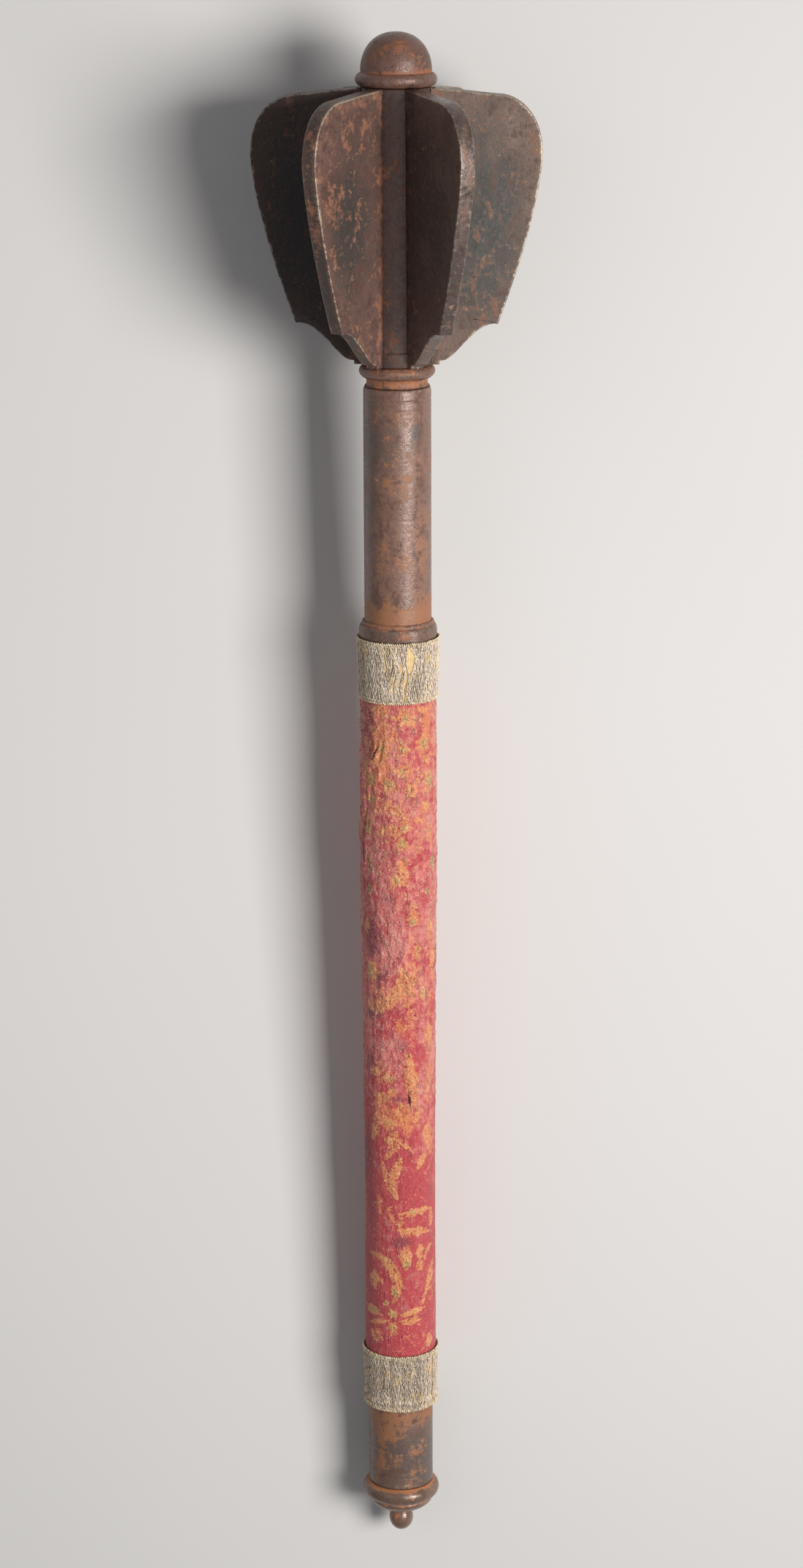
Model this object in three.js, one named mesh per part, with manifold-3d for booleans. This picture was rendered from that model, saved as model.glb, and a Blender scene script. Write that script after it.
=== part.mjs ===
// A six-flanged ceremonial mace of browned iron with a brocade-covered grip, lying at rest.
// It lies on two of its flanges and on the ring of its pommel, head towards +Y, Z up, in millimetres.
// Every piece is made upright, standing on its own foot with the mace's axis on local +Z, and is then
// stacked from the pommel's button to the finial. Local +Y is the side that faces the ground.
import * as THREE from "three";
import { mergeVertices } from "three/addons/utils/BufferGeometryUtils.js";
import Module from "manifold-3d";

const wasm = await Module();
wasm.setup();

// Clearance between pieces that touch, and the depth of the flat spots that the mace lies on
const fitGap = 0.3;
const restFlat = 0.3;

// Facets round a turned piece, steps along an arc and along each curve of a flange's outline
const turnedFacets = 36;
const arcSteps = 5;
const outlineSteps = 10;
const coverSteps = 12;

// Lengths along the axis, from the pommel up
const pommelHeight = 26.7;
const bareFootLength = 40.4;
const galloonWidth = 28.6;
const coverShown = 312.7;
const ringShown = 7.3;
const bareNeckLength = 104.8;
const collarHeight = 9.3;
const headHeight = 119.8;
const finialHeight = 23.2;

// Iron shaft, a tube from the pommel to the collar, with a round mouth and a scribed line
const shaftRadius = 15;
const shaftWall = 2.5;
const shaftMouthInset = 0.7;
const shaftMouthRound = 2.4;
const scribeBelowMouth = 5.3;
const scribeWidth = 0.7;
const scribeDepth = 0.3;

// Pommel: a button, a disc and a ring, turned in one. Reaches are measured from the shaft's surface.
const buttonRadius = 5.6;
const buttonHalfHeight = 6.4;
const buttonNeckRadius = 4.2;
const discFoot = 12.2;
const discHeight = 6.4;
const discReach = 0.1;
const pommelRingThick = 7.7;
const pommelRingReach = 3.05;
const pommelRingRound = 3.85;
const pommelTopReach = 0.6;

// Bead ring that stops the grip. Reaches are measured from the shaft's surface.
const ringHeight = 8.4;
const ringReach = 2.5;
const ringFilletReach = 1.4;
const ringFilletHeight = 1.4;
const ringGrooveDepth = 0.35;
const ringGrooveWidth = 0.6;
const ringFootRound = 1.2;

// Brocade and its padding: thicknesses from the foot of the grip to its top, at even steps
const coverThicknesses = [1.3, 1.4, 1.05, 1.3, 1.4, 2, 1.8, 1.3];
const coverHemFoot = 5.5;
const coverHemTop = 5;

// Woven metal galloons round both ends of the cover
const galloonThick = 1;
const galloonHemTurn = 4;

// Collar under the head: a hollow and a bead. Radii are the shaft's, less or more these.
const collarHollowHeight = 4.1;
const collarHollowInset = 1.5;
const collarLipReach = 0.3;
const collarBeadReach = 1.9;

// Socket of the head, with a raised band at its foot
const socketReach = 0.3;
const socketWall = 3;
const socketBandReach = 0.6;
const socketBandHeight = 6.3;

// Six flanges brazed to the socket. The pair that shows on top stands a little wider than the rest.
const flangeCount = 6;
const topPairSpread = 64;
const flangeRadius = 63.4;
const flangeThickTop = 7.4;
const flangeThickFoot = 6.2;
const widestBelowTop = 28.3;
const cornerRadius = 44.3;
const cornerHeight = 17.8;
const flangeFootReach = 2.9;
const flangeStepWidth = 1;
const flangeStepHeight = 1.6;

// Curves of a flange's outline: handles reach these shares of their stretch, in, out, up or down
const topSlope = 0.1;
const shoulderShare = 0.36;
const shoulderHandles = { out: 0.6, down: 0.07, up: 0.54 };
const sideHandles = { down: 0.19, out: 0.5, up: 0.326 };
const ogeeHandles = { in: 0.42, up: 0.1, out: 0.253 };

// Finial: a bead and a dome, turned in one. A fullness of 2 would be a true ellipse.
const finialBeadReach = 2.6;
const finialBeadThick = 6;
const domeReach = 0.3;
const domeFullness = 2.2;

// Angle through which each bead's round side runs, up and down from its widest line
const beadSweep = 75;

// Radii of pieces that seat on one another
const shaftMouthRadius = shaftRadius - shaftMouthInset;
const sleeveRadius = shaftRadius + fitGap;
const socketRadius = shaftRadius + socketReach;
const socketBandRadius = socketRadius + socketBandReach;

// Stations of the pieces' feet along the axis, from the button's tip
const shaftFoot = pommelHeight + fitGap;
const lowerGalloonFoot = pommelHeight + bareFootLength;
const lowerGalloonTop = lowerGalloonFoot + galloonWidth;
const upperGalloonFoot = lowerGalloonTop + coverShown;
const upperGalloonTop = upperGalloonFoot + galloonWidth;
const ringTop = upperGalloonTop + ringShown;
const ringFoot = ringTop - ringHeight;
const shaftTop = ringTop + bareNeckLength;
const shaftLength = shaftTop - shaftFoot;
const collarFoot = shaftTop + fitGap;
const headFoot = collarFoot + collarHeight + fitGap;
const finialFoot = headFoot + headHeight + fitGap;
const coverFoot = lowerGalloonFoot + coverHemFoot;
const coverTop = upperGalloonTop - coverHemTop;

// Angle of the side that faces the ground, from local +X
const downward = Math.PI / 2;

function ironMaterial(color, roughness) {
  return new THREE.MeshStandardMaterial({ color, roughness, metalness: 0.75 });
}

function clothMaterial(color, roughness, metalness) {
  return new THREE.MeshStandardMaterial({ color, roughness, metalness });
}

const materials = {
  finial: ironMaterial(0x6b4636, 0.5),
  head: ironMaterial(0x4a403c, 0.5),
  collar: ironMaterial(0x7b4a34, 0.55),
  shaft: ironMaterial(0x64504a, 0.45),
  pommel: ironMaterial(0x5a3a2c, 0.35),
  brocade: clothMaterial(0xa8434a, 0.85, 0),
  galloon: clothMaterial(0xa3977f, 0.5, 0.5),
};

// Points of an ellipse's arc in the profile plane, from one angle to another, in degrees from outward
function arc(centreRadius, centreHeight, radial, axial, from, to, steps = arcSteps) {
  return Array.from({ length: steps + 1 }, (_, i) => {
    const angle = THREE.MathUtils.degToRad(from + ((to - from) * i) / steps);
    return [centreRadius + radial * Math.cos(angle), centreHeight + axial * Math.sin(angle)];
  });
}

// The round side of a bead of a given outer radius and thickness, which stands out by its roundness
function bead(radius, foot, thick, round = thick / 2) {
  return arc(radius - round, foot + thick / 2, round, thick / 2, -beadSweep, beadSweep);
}

// A turned piece from its profile of [radius, height] points, going up its outside, axis on +Z.
// A facet, and not a corner, faces the ground.
function turned(profile) {
  const points = profile.map(([radius, height]) => new THREE.Vector2(radius, height));
  const halfFacet = Math.PI / turnedFacets;
  const geometry = new THREE.LatheGeometry(points, turnedFacets, halfFacet, 2 * Math.PI);
  return geometry.rotateX(Math.PI / 2);
}

// A solid turned piece: the outside profile, closed to the axis at its foot and top
function turnedSolid(outside, foot = outside[0][1], top = outside.at(-1)[1]) {
  return turned([[0, foot], ...outside, [0, top]]);
}

// A turned sleeve: the outside profile and the inside one, both going up, closed into a ring
function turnedSleeve(outside, inside) {
  return turned([...outside, ...[...inside].reverse(), outside[0]]);
}

function toManifold(geometry) {
  const bare = geometry.clone();
  for (const name of ["normal", "uv"]) bare.deleteAttribute(name);
  const merged = mergeVertices(bare, 1e-4);
  const mesh = new wasm.Mesh({
    numProp: 3,
    vertProperties: new Float32Array(merged.attributes.position.array),
    triVerts: new Uint32Array(merged.index.array),
  });
  return new wasm.Manifold(mesh);
}

function fromManifold(solid) {
  const mesh = solid.getMesh();
  const merged = new THREE.BufferGeometry();
  merged.setAttribute("position", new THREE.BufferAttribute(mesh.vertProperties, 3));
  merged.setIndex(new THREE.BufferAttribute(mesh.triVerts, 1));
  const faceted = merged.toNonIndexed();
  faceted.computeVertexNormals();
  return faceted;
}

function cut(geometry, tool) {
  return fromManifold(toManifold(geometry).subtract(toManifold(tool)));
}

function pommelGeometry() {
  const neckAngle = THREE.MathUtils.radToDeg(Math.acos(buttonNeckRadius / buttonRadius));
  const button = arc(0, buttonHalfHeight, buttonRadius, buttonHalfHeight, -90, neckAngle, 2 * arcSteps);
  const discTop = discFoot + discHeight;
  const discDepth = shaftRadius + discReach - buttonNeckRadius;
  const outside = [
    ...button.slice(1),
    ...arc(buttonNeckRadius, discTop, discDepth, discHeight, -90, 0),
    ...bead(shaftRadius + pommelRingReach, discTop, pommelRingThick, pommelRingRound),
    [shaftRadius + pommelTopReach, pommelHeight],
  ];
  return turnedSolid(outside, 0);
}

function shaftGeometry() {
  const bore = shaftRadius - shaftWall;
  const scribe = shaftLength - scribeBelowMouth;
  const outside = [
    [shaftRadius, 0],
    [shaftRadius, scribe - scribeWidth],
    [shaftRadius - scribeDepth, scribe - scribeWidth / 2],
    [shaftRadius, scribe],
    ...arc(shaftMouthRadius, shaftLength - shaftMouthRound, shaftMouthInset, shaftMouthRound, 0, 90),
  ];
  const inside = [
    [bore, 0],
    [bore, shaftLength],
  ];
  return turnedSleeve(outside, inside);
}

function gripRingGeometry() {
  const radius = shaftRadius + ringReach;
  const filletRadius = shaftRadius + ringFilletReach;
  const filletFoot = ringHeight - ringFilletHeight;
  const grooveFoot = filletFoot - ringGrooveWidth;
  const outside = [
    [radius - ringFootRound / 2, 0],
    [radius, ringFootRound],
    ...arc(filletRadius, grooveFoot / 2, radius - filletRadius, grooveFoot / 2, 0, 90).slice(1),
    [filletRadius - ringGrooveDepth, filletFoot - ringGrooveWidth / 2],
    [filletRadius, filletFoot],
    [sleeveRadius + fitGap, ringHeight],
  ];
  const inside = [
    [sleeveRadius, 0],
    [sleeveRadius, ringHeight],
  ];
  return turnedSleeve(outside, inside);
}

// Outer radius of the brocade at a station on the axis, smoothed between the named thicknesses
function coverRadiusAt(station) {
  const share = THREE.MathUtils.clamp((station - coverFoot) / (coverTop - coverFoot), 0, 1);
  const knots = coverThicknesses.map((thickness, i) => new THREE.Vector2(i, thickness));
  return sleeveRadius + new THREE.SplineCurve(knots).getPoint(share).y;
}

function coverGeometry() {
  const length = coverTop - coverFoot;
  const outside = Array.from({ length: coverSteps + 1 }, (_, i) => {
    const height = (length * i) / coverSteps;
    return [coverRadiusAt(coverFoot + height), height];
  });
  const inside = [
    [sleeveRadius, 0],
    [sleeveRadius, length],
  ];
  return turnedSleeve(outside, inside);
}

// Widest radius of the brocade between two stations
function coverWidest(foot, top) {
  const stations = Array.from({ length: coverSteps + 1 }, (_, i) => foot + ((top - foot) * i) / coverSteps);
  return Math.max(...stations.map(coverRadiusAt));
}

// The upper galloon hugs the brocade at its foot and laps over the bead ring at its top
function upperGalloonGeometry() {
  const onCover = coverWidest(upperGalloonFoot, coverTop) + fitGap;
  const onRing = Math.max(shaftRadius + ringReach + fitGap, onCover);
  const lap = ringFoot - upperGalloonFoot - fitGap;
  const outside = [
    [onCover + galloonThick / 2, 0],
    [onCover + galloonThick, galloonHemTurn / 2],
    [(onCover + onRing) / 2 + galloonThick, lap / 2],
    [onRing + galloonThick, lap],
    [onRing + galloonThick, galloonWidth],
  ];
  const inside = [
    [onCover, 0],
    [onCover, galloonHemTurn / 2],
    [onRing, lap],
    [onRing, galloonWidth],
  ];
  return turnedSleeve(outside, inside);
}

// The lower galloon hugs the brocade, and its foot turns in to the bare shaft
function lowerGalloonGeometry() {
  const onCover = coverWidest(coverFoot, lowerGalloonTop) + fitGap;
  const turnIn = onCover - sleeveRadius;
  const hem = coverHemFoot - fitGap;
  const outside = [
    ...arc(sleeveRadius + galloonThick, galloonHemTurn, turnIn, galloonHemTurn, -90, 0),
    [onCover + galloonThick, galloonWidth],
  ];
  const inside = [
    [sleeveRadius, 0],
    [sleeveRadius, hem - turnIn],
    [onCover, hem],
    [onCover, galloonWidth],
  ];
  return turnedSleeve(outside, inside);
}

function collarGeometry() {
  const hollowRadius = shaftRadius - collarHollowInset;
  const lipRadius = shaftRadius + collarLipReach;
  const middle = collarHollowHeight / 2;
  const beadThick = collarHeight - collarHollowHeight;
  return turnedSolid([
    ...arc(shaftMouthRadius, middle, hollowRadius - shaftMouthRadius, -middle, 90, 0),
    ...arc(lipRadius, middle, hollowRadius - lipRadius, middle, 0, 90).slice(1),
    ...bead(shaftRadius + collarBeadReach, collarHollowHeight, beadThick),
  ]);
}

// The socket's outside, let out by a clearance, from its foot to its top
function socketOutside(clearance) {
  return [
    [socketBandRadius + clearance, 0],
    [socketBandRadius + clearance, socketBandHeight + clearance],
    [socketRadius + clearance, socketBandHeight + clearance],
    [socketRadius + clearance, headHeight],
  ];
}

function socketGeometry() {
  const bore = socketRadius - socketWall;
  const inside = [
    [bore, 0],
    [bore, headHeight],
  ];
  return turnedSleeve(socketOutside(0), inside);
}

// A flange's outline in the plane of radius and height: a sloping top, a round shoulder, a side that
// draws in to a sharp corner, an ogee under it and a small step at its foot
function flangeShape() {
  const inner = socketRadius / 2;
  const shoulderStart = flangeRadius - shoulderShare * (flangeRadius - socketRadius);
  const shoulderTop = headHeight - topSlope * (shoulderStart - socketRadius);
  const shoulderReach = flangeRadius - shoulderStart;
  const widestHeight = headHeight - widestBelowTop;
  const shoulderDrop = shoulderTop - widestHeight;
  const sideReach = flangeRadius - cornerRadius;
  const sideDrop = widestHeight - cornerHeight;
  const footRadius = socketBandRadius + flangeFootReach;
  const stepRadius = footRadius + flangeStepWidth;
  const ogeeReach = cornerRadius - stepRadius;
  const ogeeDrop = cornerHeight - flangeStepHeight;
  const shape = new THREE.Shape();
  shape.moveTo(inner, headHeight);
  shape.lineTo(socketRadius, headHeight);
  shape.lineTo(shoulderStart, shoulderTop);
  shape.bezierCurveTo(
    shoulderStart + shoulderHandles.out * shoulderReach, shoulderTop - shoulderHandles.down * shoulderDrop,
    flangeRadius, widestHeight + shoulderHandles.up * shoulderDrop,
    flangeRadius, widestHeight,
  );
  shape.bezierCurveTo(
    flangeRadius, widestHeight - sideHandles.down * sideDrop,
    cornerRadius + sideHandles.out * sideReach, cornerHeight + sideHandles.up * sideDrop,
    cornerRadius, cornerHeight,
  );
  shape.bezierCurveTo(
    cornerRadius - ogeeHandles.in * ogeeReach, cornerHeight + ogeeHandles.up * ogeeDrop,
    stepRadius + ogeeHandles.out * ogeeReach, flangeStepHeight,
    stepRadius, flangeStepHeight,
  );
  shape.lineTo(footRadius, flangeStepHeight);
  shape.lineTo(footRadius, 0);
  shape.lineTo(inner, 0);
  shape.closePath();
  return shape;
}

// A flange in the local XZ plane, pointing to +X, a little thinner at its foot, its root cut to the socket
function flangeGeometry() {
  const plate = new THREE.ExtrudeGeometry(flangeShape(), {
    depth: 1,
    bevelEnabled: false,
    curveSegments: outlineSteps,
  });
  plate.translate(0, 0, -0.5).rotateX(Math.PI / 2);
  const position = plate.getAttribute("position");
  for (let i = 0; i < position.count; i += 1) {
    const share = position.getZ(i) / headHeight;
    const thick = THREE.MathUtils.lerp(flangeThickFoot, flangeThickTop, share);
    position.setY(i, position.getY(i) * thick);
  }
  const root = turnedSolid(socketOutside(fitGap), -socketRadius, headHeight + socketRadius);
  return cut(plate, root);
}

// Angles of the flanges from the side that faces up
function flangeAngles() {
  const spread = THREE.MathUtils.degToRad(topPairSpread);
  const pitch = (2 * Math.PI - spread) / (flangeCount - 1);
  return Array.from({ length: flangeCount }, (_, i) => spread / 2 + i * pitch);
}

function finialGeometry() {
  const domeFoot = finialBeadThick + fitGap;
  const domeHeight = finialHeight - domeFoot;
  const domeSteps = 2 * arcSteps;
  const dome = Array.from({ length: domeSteps }, (_, i) => {
    const share = Math.sin((Math.PI / 2) * (i / domeSteps));
    const narrowing = (1 - share ** domeFullness) ** (1 / domeFullness);
    return [(socketRadius + domeReach) * narrowing, domeFoot + domeHeight * share];
  });
  const outside = [...bead(socketRadius + finialBeadReach, 0, finialBeadThick), ...dome];
  return turnedSolid(outside, outside[0][1], finialHeight);
}

const mace = new THREE.Group();

// Adds a named piece with its foot at a station on the axis, turned about the axis
function addPiece(name, geometry, material, station, angle = 0) {
  const piece = new THREE.Mesh(geometry, material);
  piece.name = name;
  piece.position.z = station;
  piece.rotation.z = angle;
  mace.add(piece);
}

addPiece("pommel", pommelGeometry(), materials.pommel, 0);
addPiece("shaft", shaftGeometry(), materials.shaft, shaftFoot);
addPiece("grip_ring", gripRingGeometry(), materials.shaft, ringFoot);
addPiece("grip_cover", coverGeometry(), materials.brocade, coverFoot);
addPiece("galloon_lower", lowerGalloonGeometry(), materials.galloon, lowerGalloonFoot);
addPiece("galloon_upper", upperGalloonGeometry(), materials.galloon, upperGalloonFoot);
addPiece("neck_collar", collarGeometry(), materials.collar, collarFoot);
addPiece("head_socket", socketGeometry(), materials.head, headFoot);
addPiece("finial", finialGeometry(), materials.finial, finialFoot);
flangeAngles().forEach((angle, i) => {
  addPiece(`flange_${i + 1}`, flangeGeometry(), materials.head, headFoot, angle - downward);
});

// Every vertex of the upright mace as [station on the axis, depth below it]
function sidePoints() {
  mace.updateMatrixWorld(true);
  const points = [];
  const point = new THREE.Vector3();
  for (const piece of mace.children) {
    const position = piece.geometry.getAttribute("position");
    for (let i = 0; i < position.count; i += 1) {
      point.fromBufferAttribute(position, i).applyMatrix4(piece.matrixWorld);
      points.push([point.z, point.y]);
    }
  }
  return points;
}

// The axis's slope at which pommel and flanges touch the ground together, found by halving
function restSlope(points) {
  const reach = (part, slope) =>
    Math.max(...part.map(([station, depth]) => depth * Math.cos(slope) - station * Math.sin(slope)));
  const tail = points.filter(([station]) => station < pommelHeight);
  const head = points.filter(([station]) => station > headFoot);
  let low = 0;
  let high = Math.PI / 4;
  for (let i = 0; i < 40; i += 1) {
    const slope = (low + high) / 2;
    if (reach(tail, slope) < reach(head, slope)) low = slope;
    else high = slope;
  }
  return (low + high) / 2;
}

// Cuts a piece flat at the ground, if it reaches below it
function flattenOnGround(piece) {
  const box = new THREE.Box3().setFromObject(piece, true);
  if (box.min.z >= 0) return;
  const size = box.getSize(new THREE.Vector3());
  const centre = box.getCenter(new THREE.Vector3());
  const below = new THREE.BoxGeometry(2 * size.x, 2 * size.y, size.z);
  below.translate(centre.x, centre.y, -size.z / 2);
  below.applyMatrix4(piece.matrixWorld.clone().invert());
  piece.geometry = cut(piece.geometry, below);
}

// Lay the mace down, put the origin on the ground under the middle of its box, and wear its flat spots
mace.rotation.x = restSlope(sidePoints()) - Math.PI / 2;
mace.updateMatrixWorld(true);
const bounds = new THREE.Box3().setFromObject(mace, true);
mace.position.set(0, -(bounds.min.y + bounds.max.y) / 2, -bounds.min.z - restFlat);
mace.updateMatrixWorld(true);
mace.children.forEach(flattenOnGround);

export default mace;
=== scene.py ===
"""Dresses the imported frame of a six-flanged ceremonial mace for its portrait.

The mace lies on a pale floor with its head away from the viewer's feet. Every piece is drawn in the
mace's own upright frame, in millimetres, with the axis on local Z, and is then laid along the axis
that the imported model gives.
"""
import logging
import math
from collections.abc import Sequence
from dataclasses import dataclass, field, replace
from enum import Enum

import bpy
import numpy as np
from mathutils import Matrix, Vector


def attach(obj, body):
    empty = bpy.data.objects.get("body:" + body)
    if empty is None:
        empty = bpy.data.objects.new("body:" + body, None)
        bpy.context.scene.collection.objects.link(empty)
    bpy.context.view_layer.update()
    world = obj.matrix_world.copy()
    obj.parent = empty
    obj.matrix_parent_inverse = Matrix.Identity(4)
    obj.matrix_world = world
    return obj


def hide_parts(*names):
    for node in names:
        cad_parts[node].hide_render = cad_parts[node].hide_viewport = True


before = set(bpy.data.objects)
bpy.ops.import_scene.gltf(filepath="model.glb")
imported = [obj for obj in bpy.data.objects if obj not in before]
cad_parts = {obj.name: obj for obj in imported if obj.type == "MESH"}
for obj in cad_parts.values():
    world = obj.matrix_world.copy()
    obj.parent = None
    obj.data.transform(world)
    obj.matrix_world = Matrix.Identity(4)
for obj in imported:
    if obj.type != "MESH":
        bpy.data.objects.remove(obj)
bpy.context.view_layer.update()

MM = 0.001
BODY = "root"

log = logging.getLogger("mace")

Array = np.ndarray
Colour = tuple[float, float, float]
Tree = bpy.types.NodeTree
Node = bpy.types.Node
Socket = bpy.types.NodeSocket
Material = bpy.types.Material
Mesh = bpy.types.Mesh
Piece = bpy.types.Object


# The mace's own frame

def node_points(node: str) -> Array:
    """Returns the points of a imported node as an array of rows, in metres."""
    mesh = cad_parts[node].data
    flat = np.empty(3 * len(mesh.vertices))
    mesh.vertices.foreach_get("co", flat)
    return flat.reshape(-1, 3)


@dataclass(frozen=True)
class MaceAxis:
    """The mace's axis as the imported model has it.

    A place on the mace is a station along the axis from the button's tip, a radius, and an angle
    round the axis that is 0 on the side facing the sky and grows towards +X.
    """

    tip: Array
    along: Array
    upward: Array
    sideways: Array

    @classmethod
    def from_frame(cls) -> "MaceAxis":
        """Finds the axis from the shaft, and its start from the pommel.

        Returns:
            The axis, in metres in the row frame.
        """
        shaft = node_points("shaft")
        centre = shaft.mean(axis=0)
        along = np.linalg.svd(shaft - centre, full_matrices=False)[2][0]
        along *= math.copysign(1, along[1])
        sideways = np.array([1.0, 0.0, 0.0])
        along -= sideways * along.dot(sideways)
        along /= np.linalg.norm(along)
        start = ((node_points("pommel") - centre) @ along).min()
        return cls(centre + along * start, along, np.cross(sideways, along), sideways)

    def matrix(self) -> Matrix:
        """Returns the matrix that lays the upright frame, in metres, along the mace."""
        rows = np.eye(4)
        rows[:3, :3] = np.stack([self.upward, self.sideways, self.along], axis=1)
        rows[:3, 3] = self.tip
        return Matrix(rows.tolist())

    def upright(self, node: str) -> Array:
        """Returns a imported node's points in the upright frame, in millimetres."""
        turned = np.stack([self.upward, self.sideways, self.along], axis=1)
        return (node_points(node) - self.tip) @ turned / MM

    def span(self, node: str) -> tuple[float, float]:
        """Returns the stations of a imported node's foot and top, in millimetres."""
        stations = self.upright(node)[:, 2]
        return float(stations.min()), float(stations.max())

    def reach(self, node: str) -> float:
        """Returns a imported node's largest radius, in millimetres."""
        points = self.upright(node)
        return float(np.hypot(points[:, 0], points[:, 1]).max())

    def outer_radius(self, node: str, stations: Array) -> Array:
        """Reads a turned node's outer radius at some stations.

        Args:
            node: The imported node.
            stations: Stations in millimetres.

        Returns:
            The outer radii in millimetres, straight between the node's own rings.
        """
        points = self.upright(node)
        radii = np.hypot(points[:, 0], points[:, 1])
        rings = np.unique(points[:, 2].round(1))
        widest = [radii[np.abs(points[:, 2] - ring) < 0.1].max() for ring in rings]
        return np.interp(stations, rings, widest)


# Noise and curves

def value_noise(points: Array, cell: Sequence[float] | float, seed: int) -> Array:
    """Smooth noise from -1 to 1 at every point.

    Args:
        points: Rows of coordinates in millimetres.
        cell: Size of a lump, along each coordinate or along all.
        seed: Whole number that picks the noise.

    Returns:
        One value for each point.
    """
    place = points / np.asarray(cell, float)
    corner = np.floor(place).astype(np.int64)
    share = place - corner
    share = share * share * (3 - 2 * share)
    total = np.zeros(len(points))
    for step in np.ndindex(*(2,) * points.shape[1]):
        weight = np.prod(np.where(step, share, 1 - share), axis=1)
        mixed = np.full(len(points), seed * 7919 + 13, np.int64)
        for k, whole in enumerate((corner + step).T):
            mixed = (mixed ^ (whole * (73856093, 19349663, 83492791)[k])) * 2654435761 % 4294967296
            mixed ^= mixed >> 15
        total += weight * (mixed % 65536 / 32767.5 - 1)
    return total


def layered_noise(points: Array, cell: Sequence[float] | float, seed: int,
                  layers: int = 3) -> Array:
    """Returns noise with finer and weaker layers on top of the first."""
    sizes = np.asarray(cell, float)
    parts = [value_noise(points, sizes / 2**k, seed + k) / 2**k for k in range(layers)]
    return sum(parts) / (2 - 2 ** (1 - layers))


def smooth_step(value: Array, low: float, high: float) -> Array:
    """Returns 0 below low, 1 above high and a soft rise between them."""
    share = np.clip((value - low) / (high - low), 0, 1)
    return share * share * (3 - 2 * share)


def on_cylinder(radius: Array | float, turn: Array, height: Array | float) -> Array:
    """Returns points round the axis as rows, from radii, angles in radians and heights."""
    rows = np.broadcast_arrays(radius * np.cos(turn), radius * np.sin(turn), height)
    return np.stack(rows, axis=1)


def along_arc(angles: Array, start: float, radius: float) -> Array:
    """Returns lengths round the axis from a starting angle, with all angles in degrees."""
    return np.radians((angles - start + 180) % 360 - 180) * radius


def arc(centre: tuple[float, float], reach: tuple[float, float], start: float, end: float,
        steps: int = 12) -> list:
    """Returns an ellipse's arc as rows of [station, radius], between angles in degrees from outward."""
    angles = np.radians(np.linspace(start, end, steps + 1))
    return [[centre[0] + reach[0] * math.sin(a), centre[1] + reach[1] * math.cos(a)] for a in angles]


def bezier(p0: Sequence[float], p1: Sequence[float], p2: Sequence[float], p3: Sequence[float],
           steps: int) -> list:
    """Returns the points of a cubic curve after its first, as rows."""
    t = np.linspace(0, 1, steps + 1)[1:, None]
    corners = [np.asarray(p, float) for p in (p0, p1, p2, p3)]
    shares = ((1 - t) ** 3, 3 * t * (1 - t) ** 2, 3 * t * t * (1 - t), t**3)
    return sum(share * corner for share, corner in zip(shares, corners)).tolist()


def evenly(path: Sequence[Sequence[float]], step: float) -> Array:
    """Adds points to a path so that none of its stretches is longer than step.

    Args:
        path: Rows of coordinates.
        step: Longest stretch.

    Returns:
        The path's own points and those added between them.
    """
    rows = [np.asarray(path[0], float)]
    for point in np.asarray(path[1:], float):
        count = max(1, math.ceil(np.linalg.norm(point - rows[-1]) / step))
        last = rows[-1]
        rows += [last + (point - last) * k / count for k in range(1, count + 1)]
    return np.array(rows)


# Meshes

@dataclass
class Shell:
    """A closed surface in the making, in millimetres in the upright frame."""

    points: Array
    faces: list[tuple[int, ...]]
    marks: dict[str, Array] = field(default_factory=dict)
    places: Array | None = None

    def signed_volume(self) -> float:
        """Returns the enclosed volume, negative if the faces point inwards."""
        total = 0.0
        for sides in {len(face) for face in self.faces}:
            rows = np.array([face for face in self.faces if len(face) == sides])
            for k in range(1, sides - 1):
                a, b, c = (self.points[rows[:, i]] for i in (0, k, k + 1))
                total += float(np.einsum("ij,ij->i", a, np.cross(b, c)).sum()) / 6
        return total

    def to_object(self, name: str, material: Material, axis: MaceAxis) -> Piece:
        """Lays the surface along the mace as a finished object.

        Args:
            name: The object's name.
            material: Its finish.
            axis: The mace's axis.

        Returns:
            The object, at the origin, with its place in its mesh.
        """
        faces = self.faces
        if self.signed_volume() < 0:
            faces = [tuple(reversed(face)) for face in faces]
        mesh = bpy.data.meshes.new(name)
        mesh.from_pydata((self.points * MM).tolist(), [], faces)
        for mark, values in self.marks.items():
            layer = mesh.attributes.new(mark, "FLOAT", "POINT")
            layer.data.foreach_set("value", values.astype(np.float32))
        if self.places is not None:
            layer = mesh.uv_layers.new(name="cloth")
            corners = np.empty(len(mesh.loops), np.int32)
            mesh.loops.foreach_get("vertex_index", corners)
            layer.data.foreach_set("uv", self.places[corners].astype(np.float32).ravel())
        return lay_along(mesh, name, material, axis)


def lay_along(mesh: Mesh, name: str, material: Material, axis: MaceAxis) -> Piece:
    """Lays an upright mesh along the mace, keeps it off the floor and links it as an object.

    Args:
        mesh: A mesh in the upright frame, in metres.
        name: The object's name.
        material: Its finish.
        axis: The mace's axis.

    Returns:
        The object, at the origin.
    """
    mesh.transform(axis.matrix())
    flat = np.empty(3 * len(mesh.vertices), np.float32)
    mesh.vertices.foreach_get("co", flat)
    flat[2::3] = np.maximum(flat[2::3], 0)
    mesh.vertices.foreach_set("co", flat)
    mesh.materials.clear()
    mesh.materials.append(material)
    mesh.polygons.foreach_set("use_smooth", np.ones(len(mesh.polygons), bool))
    mesh.update()
    piece = bpy.data.objects.new(name, mesh)
    bpy.context.scene.collection.objects.link(piece)
    return piece


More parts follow.
